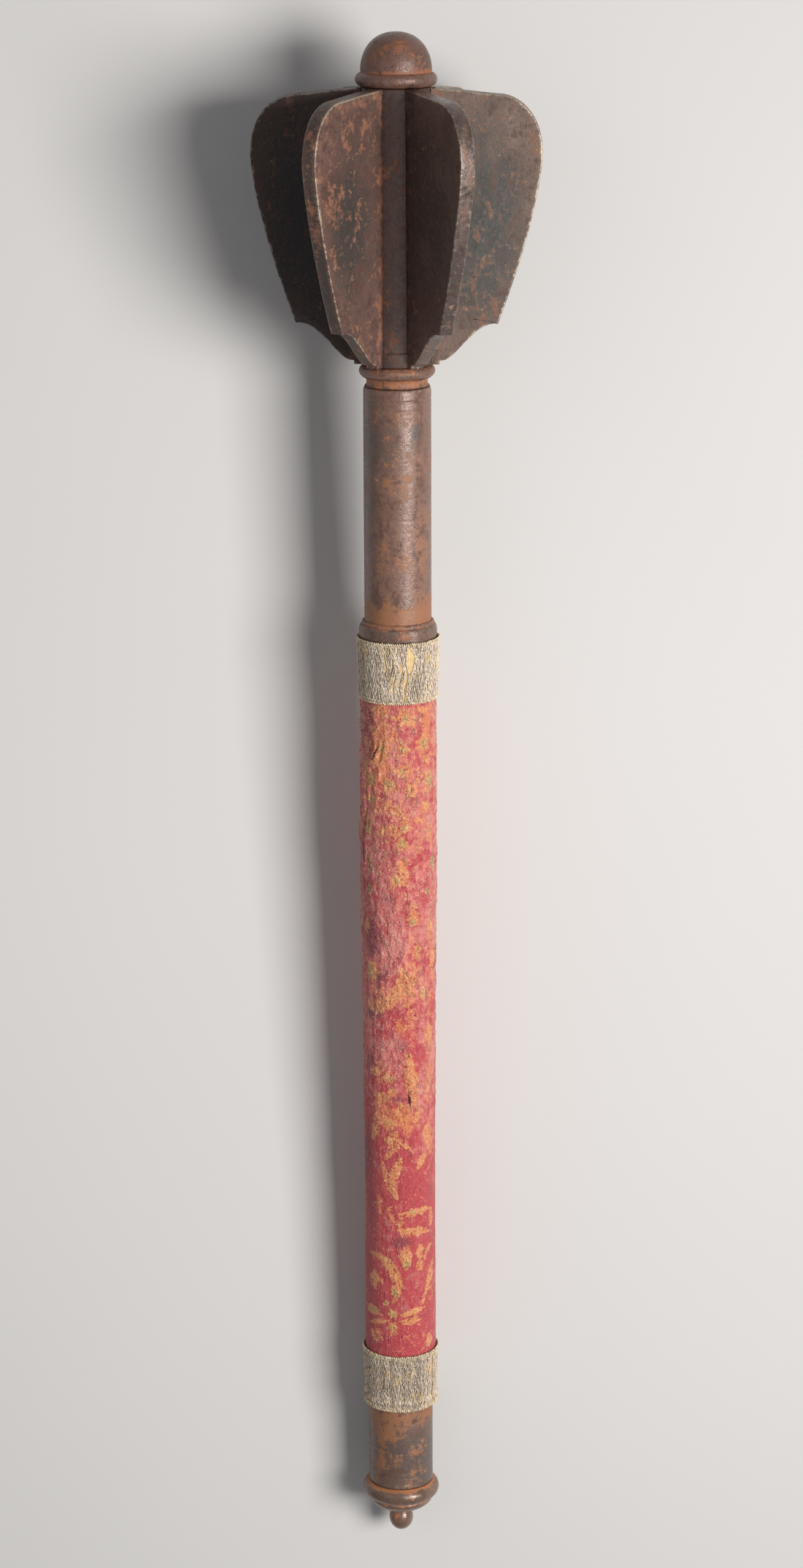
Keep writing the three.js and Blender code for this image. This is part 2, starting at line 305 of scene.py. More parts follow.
def ring_faces(rings: int, around: int, joined: bool) -> list[tuple[int, ...]]:
    """Faces between rings of points.

    Args:
        rings: How many rings there are.
        around: How many points a ring has.
        joined: Whether the last ring is joined to the first.

    Returns:
        Four-sided faces.
    """
    i = np.arange(rings if joined else rings - 1)[:, None]
    j = np.arange(around)[None]
    low, high = i * around, (i + 1) % rings * around
    corners = [low + j, low + (j + 1) % around, high + (j + 1) % around, high + j]
    return [tuple(row) for row in np.stack(corners, axis=-1).reshape(-1, 4).tolist()]


@dataclass(frozen=True)
class Patch:
    """A soft spot of rust, dark scale or wear, at a station and an angle on a turned piece."""

    station: float
    angle: float
    length: float
    width: float
    strength: float = 1.0

    def cover(self, stations: Array, arcs: Array, radius: float) -> Array:
        """Strength of the spot at every point.

        Args:
            stations: Stations of the points.
            arcs: Their angles in degrees.
            radius: Radius that turns angles into lengths.

        Returns:
            Values from 0 to the spot's strength.
        """
        across = along_arc(arcs, self.angle, radius) / (self.width / 2)
        along = (stations - self.station) / (self.length / 2)
        return self.strength * np.exp(-(across**2 + along**2))


def spots(*rows: tuple) -> tuple[Patch, ...]:
    """Returns soft spots from rows of station, angle, length, width and strength."""
    return tuple(Patch(*row) for row in rows)


def covered(patches: Sequence[Patch], stations: Array, arcs: Array, radius: float) -> Array:
    """Returns the strength of several soft spots together at every point."""
    return sum((patch.cover(stations, arcs, radius) for patch in patches), np.zeros(len(stations)))


@dataclass
class TurnedPiece:
    """A piece turned on a lathe: its object's name, its profile, its wear and its spots."""

    name: str
    profile: list
    hollow: bool = False
    around: int = 144
    step: float = 0.6
    dents: float = 0.05
    seed: int = 1
    rust: tuple[Patch, ...] = ()
    dark: tuple[Patch, ...] = ()
    loose_spans: tuple[tuple[float, float, float], ...] = ()

    def shell(self) -> Shell:
        """Turns the profile round the axis, with shallow dents and marks for its finish.

        Returns:
            The closed surface.
        """
        rows = self.thin_out(evenly(self.profile, self.step))
        if self.hollow:
            rows = rows[:-1] if np.allclose(rows[0], rows[-1]) else rows
        else:
            rows = rows[rows[:, 1] > 1e-6]
        angles = np.arange(self.around) * 2 * math.pi / self.around
        radius = np.repeat(rows[:, 1], self.around)
        station = np.repeat(rows[:, 0], self.around)
        turn = np.tile(angles, len(rows))
        points = on_cylinder(radius, turn, station)
        dent = layered_noise(points, (9, 9, 14), self.seed) * self.dents
        grow = (radius + dent * np.minimum(radius / 4, 1)) / radius
        points[:, :2] *= grow[:, None]
        faces = ring_faces(len(rows), self.around, self.hollow)
        marks = self.finish_marks(rows, station, np.degrees(turn), radius)
        if not self.hollow:
            points, marks = self.close_ends(points, faces, marks, rows)
        return Shell(points, faces, marks)

    def set_up(self, axis: MaceAxis, finish: Material, slot: str, node: str) -> None:
        """Lays the piece along the mace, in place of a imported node."""
        hand_over(self.shell().to_object(self.name, finish, axis), slot, node)

    def thin_out(self, rows: Array) -> Array:
        """Leaves out rings in stretches that other pieces cover.

        Args:
            rows: The profile's points.

        Returns:
            The points that are kept.
        """
        keep = np.ones(len(rows), bool)
        for foot, top, every in self.loose_spans:
            inside = (rows[:, 0] > foot) & (rows[:, 0] < top)
            keep &= ~inside | (np.cumsum(inside) % int(every / self.step) == 0)
        return rows[keep]

    def finish_marks(self, rows: Array, station: Array, turn: Array, radius: Array) -> dict:
        """Marks where ridges are worn and where rust and dark scale lie.

        Args:
            rows: The profile's points.
            station: Stations of the surface's points.
            turn: Their angles in degrees.
            radius: Their radii.

        Returns:
            Values by name for every point.
        """
        apart = np.abs(rows[:, None] - rows[None])
        near = np.exp(-((apart[..., 0] / 1.4) ** 2)) * (apart[..., 1] < 1.8)
        near *= apart[..., 1] < 0.6 + apart[..., 0]
        ridge = rows[:, 1] - near @ rows[:, 1] / near.sum(axis=1)
        size = float(np.median(radius))
        return {"ridge": np.repeat(ridge, self.around),
                "rust": covered(self.rust, station, turn, size),
                "dark": covered(self.dark, station, turn, size)}

    def close_ends(self, points: Array, faces: list, marks: dict, rows: Array) -> tuple[Array, dict]:
        """Closes a solid piece to the axis at both ends.

        Args:
            points: The surface's points.
            faces: Its faces, to which the ends are added.
            marks: Its marks.
            rows: The profile's points.

        Returns:
            The points and marks with the two poles added.
        """
        last = (len(rows) - 1) * self.around
        foot, top = len(points), len(points) + 1
        for j in range(self.around):
            k = (j + 1) % self.around
            faces.append((k, j, foot))
            faces.append((last + j, last + k, top))
        poles = [[0, 0, self.profile[0][0]], [0, 0, self.profile[-1][0]]]
        marks = {name: np.concatenate([values, values[[0, -1]]]) for name, values in marks.items()}
        return np.vstack([points, poles]), marks


# Node trees

class Sketch:
    """Short calls for making and joining the nodes of one tree."""

    def __init__(self, tree: Tree) -> None:
        """Keeps the tree that the nodes go into."""
        self.tree = tree

    def feed(self, socket: Socket, value: object) -> None:
        """Joins a socket to another one, or gives it a plain value."""
        if isinstance(value, Socket):
            self.tree.links.new(value, socket)
        elif isinstance(value, tuple) and socket.type == "RGBA":
            socket.default_value = (*value, 1)[:4]
        else:
            socket.default_value = value

    def add(self, kind: str, inputs: dict | None = None, **settings: object) -> Node:
        """Adds a node.

        Args:
            kind: The node's type.
            inputs: Values or sockets by the name or number of the input.
            **settings: The node's own settings.

        Returns:
            The node.
        """
        node = self.tree.nodes.new(kind)
        for name, value in settings.items():
            setattr(node, name, value)
        self.set_inputs(node, inputs or {})
        return node

    def set_inputs(self, node: Node, values: dict) -> None:
        """Gives values or sockets to a node's inputs, by their names or numbers."""
        for key, value in values.items():
            self.feed(node.inputs[key], value)

    def made_by(self, kind: str, inputs: dict | None = None, **settings: object) -> Socket:
        """Adds a node and returns its first output."""
        return self.add(kind, inputs, **settings).outputs[0]

    def math(self, operation: str, *values: object) -> Socket:
        """Returns the result of a sum on values or sockets."""
        return self.made_by("ShaderNodeMath", dict(enumerate(values)), operation=operation)

    def vector(self, operation: str, *values: object) -> Socket:
        """Returns the vector result of a vector sum on values or sockets."""
        return self.made_by("ShaderNodeVectorMath", dict(enumerate(values)), operation=operation)

    def times(self, first: object, second: object) -> Socket:
        """Returns the product of two values or sockets."""
        return self.math("MULTIPLY", first, second)

    def plus(self, first: object, second: object) -> Socket:
        """Returns the sum of two values or sockets."""
        return self.math("ADD", first, second)

    def minus(self, first: object, second: object) -> Socket:
        """Returns the first of two values or sockets less the second."""
        return self.math("SUBTRACT", first, second)

    def point(self, x: object = 0.0, y: object = 0.0, z: object = 0.0) -> Socket:
        """Returns a vector made of three numbers."""
        return self.made_by("ShaderNodeCombineXYZ", {0: x, 1: y, 2: z})

    def round_axis(self, radius: object, turn: object, height: object) -> Socket:
        """Returns the place at a radius, an angle and a height round the axis."""
        cosine, sine = self.math("COSINE", turn), self.math("SINE", turn)
        return self.point(self.times(cosine, radius), self.times(sine, radius), height)

    def chance(self, index: object, seed: object, low: float = -1.0, high: float = 1.0) -> Socket:
        """Returns a random number for every index."""
        inputs = {2: low, 3: high, "ID": index, "Seed": seed}
        return self.add("FunctionNodeRandomValue", inputs, data_type="FLOAT").outputs[1]

    def thicken(self, curves: Socket, radius: object) -> Socket:
        """Returns curves as closed five-sided cords."""
        section = self.made_by("GeometryNodeCurvePrimitiveCircle", {"Resolution": 5, "Radius": radius})
        inputs = {"Curve": curves, "Profile Curve": section, "Fill Caps": True}
        return self.made_by("GeometryNodeCurveToMesh", inputs)

    def finish_shape(self, end: Node, shape: Socket, finish: Socket) -> Tree:
        """Ends a geometry tree.

        Args:
            end: The tree's output node.
            shape: What the tree has made.
            finish: Its material.

        Returns:
            The tree, which puts the shape out as a real mesh with its finish.
        """
        real = self.made_by("GeometryNodeRealizeInstances", {0: shape})
        dressed = self.made_by("GeometryNodeSetMaterial", {"Geometry": real, "Material": finish})
        self.set_inputs(end, {"Mesh": dressed})
        return self.tree

    def spread(self, value: object, low: object, high: object, start: object = 0.0,
               end: object = 1.0) -> Socket:
        """Returns a value spread softly from one range onto another."""
        inputs = {"Value": value, 1: low, 2: high, 3: start, 4: end}
        return self.made_by("ShaderNodeMapRange", inputs, interpolation_type="SMOOTHSTEP")

    def blend(self, share: object, first: object, second: object) -> Socket:
        """Returns a colour between two, by a share from 0 to 1."""
        return self.add("ShaderNodeMix", {0: share, 6: first, 7: second}, data_type="RGBA").outputs[2]

    def noise(self, place: object, scale: object, detail: float = 4.0, rough: float = 0.55) -> Socket:
        """Returns the value of a noise texture."""
        inputs = {"Vector": place, "Scale": scale, "Detail": detail, "Roughness": rough}
        return self.made_by("ShaderNodeTexNoise", inputs)

    def cloud(self, place: object, scale: float, detail: float, shift: float,
              grain: Colour = (1.0, 1.0, 1.0)) -> Socket:
        """Returns noise that is 0 on the whole, moved by a shift and drawn out along its grain."""
        moved = self.vector("MULTIPLY_ADD", place, grain, (shift, 0.7 * shift, 1.3 * shift))
        return self.minus(self.noise(moved, scale, detail, 0.62), 0.5)

    def total(self, *parts: tuple[object, float]) -> Socket:
        """Returns the sum of some sockets, each times its weight."""
        result = 0.0
        for part, weight in parts:
            result = self.math("MULTIPLY_ADD", part, weight, result)
        return result


class Kind(Enum):
    """Types of the sockets that the node groups use."""

    NUMBER = "NodeSocketFloat"
    WHOLE = "NodeSocketInt"
    VECTOR = "NodeSocketVector"
    COLOUR = "NodeSocketColor"
    MATERIAL = "NodeSocketMaterial"
    SHAPE = "NodeSocketGeometry"


def new_group(name: str, tree_kind: str, takes: dict[str, Kind],
              gives: dict[str, Kind]) -> tuple[Sketch, dict, Node]:
    """Starts a node group.

    Args:
        name: The group's name.
        tree_kind: Shader or geometry tree.
        takes: Inputs by name.
        gives: Outputs by name.

    Returns:
        A sketch of the group, its inputs' sockets by name, and its output node.
    """
    tree = bpy.data.node_groups.new(name, tree_kind)
    for label, kind in takes.items():
        tree.interface.new_socket(label, in_out="INPUT", socket_type=kind.value)
    for label, kind in gives.items():
        tree.interface.new_socket(label, in_out="OUTPUT", socket_type=kind.value)
    start = tree.nodes.new("NodeGroupInput")
    end = tree.nodes.new("NodeGroupOutput")
    return Sketch(tree), {label: start.outputs[label] for label in takes}, end


# Shader groups

def make_patina_group() -> Tree:
    """Makes the patina of old browned iron: scale, rust, pits and worn ridges.

    Returns:
        The shader group.
    """
    colours = ("Base", "Dark", "Rust", "Worn")
    numbers = ("Ridge", "Extra Rust", "Extra Dark", "Rust Amount", "Dark Amount", "Worn Amount",
               "Roughness", "Metal")
    takes = {"Place": Kind.VECTOR, **dict.fromkeys(colours, Kind.COLOUR),
             **dict.fromkeys(numbers, Kind.NUMBER)}
    gives = {"Color": Kind.COLOUR, **dict.fromkeys(("Roughness", "Metallic", "Height"), Kind.NUMBER)}
    s, take, end = new_group("iron_patina", "ShaderNodeTree", takes, gives)
    place = take["Place"]
    broad = s.cloud(place, 38.0, 3.0, 0.31)
    blotch = s.cloud(place, 125.0, 6.0, 0.57)
    drag = s.cloud(place, 230.0, 5.0, 0.83, (1.0, 0.28, 1.0))
    mottle = s.cloud(place, 470.0, 5.0, 0.19)
    grain = s.cloud(place, 1500.0, 3.0, 0.43)
    fleck = s.cloud(place, 1900.0, 2.0, 0.71)

    dark = s.total((broad, 1.0), (blotch, 1.5), (drag, 1.6), (mottle, 1.6), (take["Dark Amount"], 1.0),
                   (take["Extra Dark"], 1.0))
    dark = s.spread(dark, 0.3, 0.72, 0.0, 0.9)
    rust = s.total((broad, 0.8), (blotch, 1.7), (drag, 1.6), (mottle, 1.5), (grain, 0.9),
                   (take["Ridge"], -0.5), (take["Rust Amount"], 1.0), (take["Extra Rust"], 1.0))
    rust = s.spread(rust, 0.36, 0.84, 0.0, 0.88)
    specks = s.spread(s.total((mottle, 1.0), (grain, 0.9), (take["Rust Amount"], 0.12)), 0.17, 0.3)

    rub = s.total((take["Ridge"], 1.0), (mottle, 1.7), (blotch, 1.1), (grain, 0.6))
    worn = s.times(s.spread(rub, 0.28, 0.62), take["Worn Amount"])
    pits = s.spread(s.total((grain, 1.0), (mottle, 0.5)), 0.1, 0.2)
    flecks = s.spread(fleck, 0.15, 0.24)

    lift = s.spread(s.total((blotch, 1.0), (mottle, 1.0), (drag, 0.8)), -0.25, 0.25, 0.7, 1.32)
    ground = s.vector("MULTIPLY", take["Base"], s.point(lift, lift, lift))
    colour = s.blend(dark, ground, take["Dark"])
    hot = s.vector("MULTIPLY", take["Rust"], (1.35, 1.12, 0.85))
    fresh = s.spread(s.total((mottle, 1.0), (grain, 0.8)), 0.0, 0.25)
    colour = s.blend(rust, colour, s.blend(fresh, take["Rust"], hot))
    colour = s.blend(s.times(specks, 0.45), colour, take["Rust"])
    colour = s.blend(s.times(pits, 0.5), colour, s.blend(0.4, take["Dark"], (0.02, 0.014, 0.012)))
    colour = s.blend(s.times(flecks, 0.22), colour, take["Worn"])
    colour = s.blend(worn, colour, take["Worn"])

    rough = s.total((blotch, 0.5), (mottle, 0.5), (rust, 0.22), (worn, -0.1), (take["Roughness"], 1.0))
    metal = s.times(take["Metal"], s.math("MULTIPLY_ADD", rust, -0.85, 1.0))
    metal = s.math("MULTIPLY_ADD", worn, 0.35, metal)
    height = s.total((mottle, 1.2), (grain, 0.7), (blotch, 0.8), (pits, -0.3), (rust, 0.15))
    s.set_inputs(end, {"Color": colour, "Roughness": rough, "Metallic": metal, "Height": height})
    return s.tree


def make_weave_group() -> Tree:
    """Makes a plain weave of crossing threads from a cloth's own coordinates in metres.

    Returns:
        The shader group, which gives the threads' height and a mask of the gaps between them.
    """
    takes = {"Place": Kind.VECTOR, **dict.fromkeys(("Warp Pitch", "Weft Pitch", "Stray"), Kind.NUMBER)}
    gives = dict.fromkeys(("Height", "Gap"), Kind.NUMBER)
    s, take, end = new_group("woven_threads", "ShaderNodeTree", takes, gives)
    noise = s.add("ShaderNodeTexNoise", {"Vector": take["Place"], "Scale": 160.0, "Detail": 3.0})
    reach = s.point(take["Stray"], take["Stray"])
    wandering = s.vector("MULTIPLY_ADD", noise.outputs["Color"], reach, take["Place"])
    parts = s.add("ShaderNodeSeparateXYZ", {0: wandering})
    waves = []
    for part, pitch in ((0, "Warp Pitch"), (1, "Weft Pitch")):
        turn = s.times(s.math("DIVIDE", parts.outputs[part], take[pitch]), math.pi)
        waves.append(s.math("ABSOLUTE", s.math("SINE", turn)))
    high = s.math("MAXIMUM", s.times(waves[0], 0.9), waves[1])
    s.set_inputs(end, {"Height": high, "Gap": s.minus(1.0, s.spread(high, 0.25, 0.75))})
    return s.tree


@dataclass(frozen=True)
class Surface:
    """What every finish starts from: a material with one shader and its output."""

    name: str

    def start(self) -> tuple[Material, Sketch, Node]:
        """Makes the material.

        Returns:
            The material, a sketch of its nodes and its Principled shader.
        """
        material = bpy.data.materials.new(self.name)
        material.use_nodes = True
        sketch = Sketch(material.node_tree)
        shader = material.node_tree.nodes["Principled BSDF"]
        return material, sketch, shader


def bump(s: Sketch, height: object, depth: float, strength: float = 1.0) -> Socket:
    """Returns the normal of a surface raised by a height, depth metres at most."""
    return s.made_by("ShaderNodeBump", {"Strength": strength, "Distance": depth, "Height": height})


def mark(s: Sketch, name: str) -> Socket:
    """Returns the number that a piece's points carry under a name."""
    return s.add("ShaderNodeAttribute", attribute_name=name).outputs["Fac"]


@dataclass(frozen=True)
class IronFinish(Surface):
    """Old browned iron."""

    base: Colour = (0.15, 0.095, 0.075)
    dark: Colour = (0.05, 0.042, 0.04)
    rust: Colour = (0.3, 0.12, 0.055)
    worn: Colour = (0.42, 0.36, 0.31)
    rust_amount: float = 0.35
    dark_amount: float = 0.4
    worn_amount: float = 0.6
    roughness: float = 0.46
    metal: float = 0.35
    pit_depth: float = 0.00022

    def material(self, patina: Tree) -> Material:
        """Makes the finish.

        Args:
            patina: The patina's shader group.

        Returns:
            The material.
        """
        material, s, shader = self.start()
        place = s.add("ShaderNodeTexCoord").outputs["Object"]
        group = s.add("ShaderNodeGroup", node_tree=patina)
        s.set_inputs(group, {
            "Place": place, "Ridge": mark(s, "ridge"), "Extra Rust": mark(s, "rust"),
            "Extra Dark": mark(s, "dark"), "Base": self.base, "Dark": self.dark, "Rust": self.rust,
            "Worn": self.worn, "Rust Amount": self.rust_amount, "Dark Amount": self.dark_amount,
            "Worn Amount": self.worn_amount, "Roughness": self.roughness, "Metal": self.metal,
        })
        s.set_inputs(shader, {
            "Base Color": group.outputs["Color"], "Roughness": group.outputs["Roughness"],
            "Metallic": group.outputs["Metallic"],
            "Normal": bump(s, group.outputs["Height"], self.pit_depth),
        })
        return material


@dataclass(frozen=True)
class BrocadeFinish(Surface):
    """Worn crimson silk brocade with gold and green flowers."""

    crimson: Colour = (0.565, 0.066, 0.078)
    faded: Colour = (0.82, 0.275, 0.235)
    plum_and_shade: Colour = (0.3, 0.062, 0.075)
    deep: Colour = (0.14, 0.022, 0.03)
    orange: Colour = (0.82, 0.265, 0.105)
    straw: Colour = (0.88, 0.48, 0.18)
    green: Colour = (0.36, 0.27, 0.1)
    pale: Colour = (0.92, 0.62, 0.5)
    slit: Colour = (0.05, 0.01, 0.015)

    def material(self, weave: Tree) -> Material:
        """Makes the finish.

        Args:
            weave: The weave's shader group.

        Returns:
            The material.
        """
        material, s, shader = self.start()
        place = s.made_by("ShaderNodeUVMap", uv_map="cloth")
        group = s.add("ShaderNodeGroup", {"Place": place, "Warp Pitch": 0.00042, "Weft Pitch": 0.00055,
                                          "Stray": 0.0011}, node_tree=weave)
        slow = s.cloud(place, 60.0, 4.0, 0.13)
        ragged = s.cloud(place, 330.0, 5.0, 0.37)
        crumb = s.cloud(place, 900.0, 3.0, 0.59)
        speck = s.cloud(place, 2100.0, 2.0, 0.23)
        fibre = s.cloud(place, 700.0, 4.0, 0.47, (1.0, 0.3, 1.0))
        creased = s.math("ABSOLUTE", s.cloud(place, 105.0, 5.0, 0.91, (1.0, 0.55, 1.0)))
        loose = s.math("ABSOLUTE", s.cloud(place, 150.0, 3.0, 0.77))
        wear = mark(s, "wear")

        fade = s.spread(s.total((wear, 0.7), (slow, 1.6), (ragged, 1.6), (fibre, 0.9)), 0.05, 0.85)
        cloth = s.blend(fade, self.crimson, self.faded)
        # Painted shade: the shadows table, with some noise, darkens the cloth towards plum.
        shade = s.total((mark(s, "plum_and_shade"), 1.0), (slow, 1.5), (ragged, 1.5), (fibre, 0.6))
        cloth = s.blend(s.spread(shade, 0.15, 0.85, 0.0, 0.8), cloth, self.plum_and_shade)
        wash = s.total((mark(s, "wash"), 1.0), (ragged, 2.8), (crumb, 1.6), (fibre, 0.8))
        cloth = s.blend(s.spread(wash, 0.28, 0.86, 0.0, 0.85), cloth, self.orange)

        kept = s.spread(s.total((ragged, 1.0), (crumb, 1.2), (speck, 0.5)), -0.34, -0.06)
        gold = s.total((mark(s, "gold"), -1.0), (ragged, 2.4), (crumb, 2.6), (speck, 1.0))
        gold = s.spread(gold, -0.5, 0.45)
        gold = s.times(gold, kept)
        light = s.total((crumb, 1.8), (speck, 1.4), (ragged, 0.8), (mark(s, "gold"), -0.04))
        light = s.spread(light, -0.08, 0.46)
        cloth = s.blend(s.times(gold, 0.88), cloth, s.blend(light, self.orange, self.straw))
        green = s.spread(s.total((mark(s, "green"), -1.0), (ragged, 2.2), (crumb, 2.2)), -0.5, 0.4)
        cloth = s.blend(s.times(green, s.times(kept, 0.8)), cloth,
                        s.blend(s.spread(crumb, -0.1, 0.2), self.green, self.straw))

        dark = s.spread(s.total((crumb, -1.0), (fibre, -0.8), (ragged, -0.6)), 0.12, 0.34, 0.0, 0.45)
        cloth = s.blend(dark, cloth, self.deep)
        strained = s.spread(s.total((wear, 0.8), (ragged, 2.0), (crumb, 1.0)), 0.2, 0.7)
        crack = s.times(s.spread(creased, 0.003, 0.016, 1.0, 0.0), strained)
        cloth = s.blend(s.times(crack, 0.5), cloth, self.deep)
        bright = s.total((speck, 1.0), (crumb, 0.7), (ragged, 0.3), (wear, 0.07))
        bright = s.spread(bright, 0.14, 0.27, 0.0, 0.7)
        cloth = s.blend(bright, cloth, self.pale)
        pulled = s.spread(s.total((wear, 0.6), (slow, 3.0), (crumb, 1.4)), 0.45, 0.85)
        thread = s.times(s.spread(loose, 0.002, 0.009, 1.0, 0.0), pulled)
        cloth = s.blend(s.times(thread, 0.6), cloth, self.pale)
        # Painted shade in the gaps between the woven threads.
        cloth = s.blend(s.times(group.outputs["Gap"], 0.25), cloth, self.deep)
        # Painted shade: the cloth darkens where it dips below its surface.
        cloth = s.blend(s.spread(mark(s, "dip"), 0.2, 0.9, 0.0, 0.8), cloth, self.deep)
        cloth = s.blend(s.spread(mark(s, "slit"), 0.4, 0.7), cloth, self.slit)
        rough = s.spread(s.total((gold, 1.0), (crumb, 1.0)), -0.2, 1.0, 0.62, 0.4)
        height = s.total((group.outputs["Height"], 0.12), (ragged, 1.9), (crumb, 1.2), (fibre, 1.5),
                         (gold, 0.14), (speck, 0.35), (crack, -0.25), (thread, 0.15))
        s.set_inputs(shader, {"Base Color": cloth, "Roughness": rough, "Sheen Weight": 0.12,
                              "Sheen Roughness": 0.45, "Normal": bump(s, height, 0.0007)})
        return material


@dataclass(frozen=True)
class ThreadFinish(Surface):
    """Tarnished silver-gilt thread."""

    bright: Colour = (0.86, 0.735, 0.595)
    dull: Colour = (0.37, 0.29, 0.225)
    yellow: Colour = (0.85, 0.62, 0.3)
    metal: float = 0.3
    roughness: float = 0.42

    def material(self) -> Material:
        """Makes the finish, whose tone changes from thread to thread and along each, where fine noise paints
        glints.

        Returns:
            The material.
        """
        material, s, shader = self.start()
        place = s.add("ShaderNodeTexCoord").outputs["Object"]
        tone = mark(s, "tone")
        sparkle = s.noise(place, 1150.0, 3.0, 0.7)
        cloud = s.noise(place, 240.0, 4.0, 0.6)
        # Painted glints: fine noise lifts the colour from dull to bright in small spots, on top of each
        # thread's own tone.
        share = s.plus(s.times(tone, 0.16), sparkle)
        colour = s.blend(s.spread(share, 0.42, 0.74), self.dull, self.bright)
        gilt = s.spread(s.plus(cloud, s.times(tone, 0.12)), 0.58, 0.74, 0.0, 0.6)
        colour = s.blend(gilt, colour, self.yellow)
        rough = s.spread(sparkle, 0.3, 0.7, self.roughness - 0.08, self.roughness + 0.18)
        s.set_inputs(shader, {"Base Color": colour, "Roughness": rough, "Metallic": self.metal,
                              "Normal": bump(s, sparkle, 0.00006)})
        return material


@dataclass(frozen=True)
class SilkFinish(Surface):
    """The ribbed yellow silk under the metal threads."""

    light: Colour = (0.84, 0.6, 0.27)
    shade: Colour = (0.27, 0.19, 0.13)

    def material(self, weave: Tree) -> Material:
        """Makes the finish.

        Args:
            weave: The weave's shader group.

        Returns:
            The material.
        """
        material, s, shader = self.start()
        place = s.made_by("ShaderNodeUVMap", uv_map="cloth")
        group = s.add("ShaderNodeGroup", {"Place": place, "Warp Pitch": 0.0012, "Weft Pitch": 0.00045,
                                          "Stray": 0.0003}, node_tree=weave)
        cloud = s.noise(place, 260.0, 4.0, 0.6)
        bared = s.spread(mark(s, "bared"), 0.2, 0.8)
        colour = s.blend(s.spread(cloud, 0.35, 0.7), self.light, s.blend(0.4, self.light, self.shade))
        # Painted shade: the silk darkens in the gaps of its weave and wherever the metal threads cover it,
        # and shows its yellow only in the worn holes.
        colour = s.blend(s.times(group.outputs["Gap"], 0.35), colour, self.shade)
        colour = s.blend(bared, self.shade, colour)
        s.set_inputs(shader, {"Base Color": colour, "Roughness": 0.6, "Sheen Weight": 0.2,
                              "Normal": bump(s, group.outputs["Height"], 0.00012)})
        return material


@dataclass(frozen=True)
class PaperFinish(Surface):
    """The pale floor."""

    colour: Colour = (0.735, 0.72, 0.705)

    def material(self) -> Material:
        """Makes the finish.

        Returns:
            The material.
        """
        material, s, shader = self.start()
        place = s.add("ShaderNodeTexCoord").outputs["Object"]
        cloud = s.noise(place, 6.0, 3.0, 0.5)
        dim = tuple(0.97 * c for c in self.colour)
        s.set_inputs(shader, {"Base Color": s.blend(cloud, self.colour, dim), "Roughness": 0.9,
                              "Specular IOR Level": 0.15})
        return material


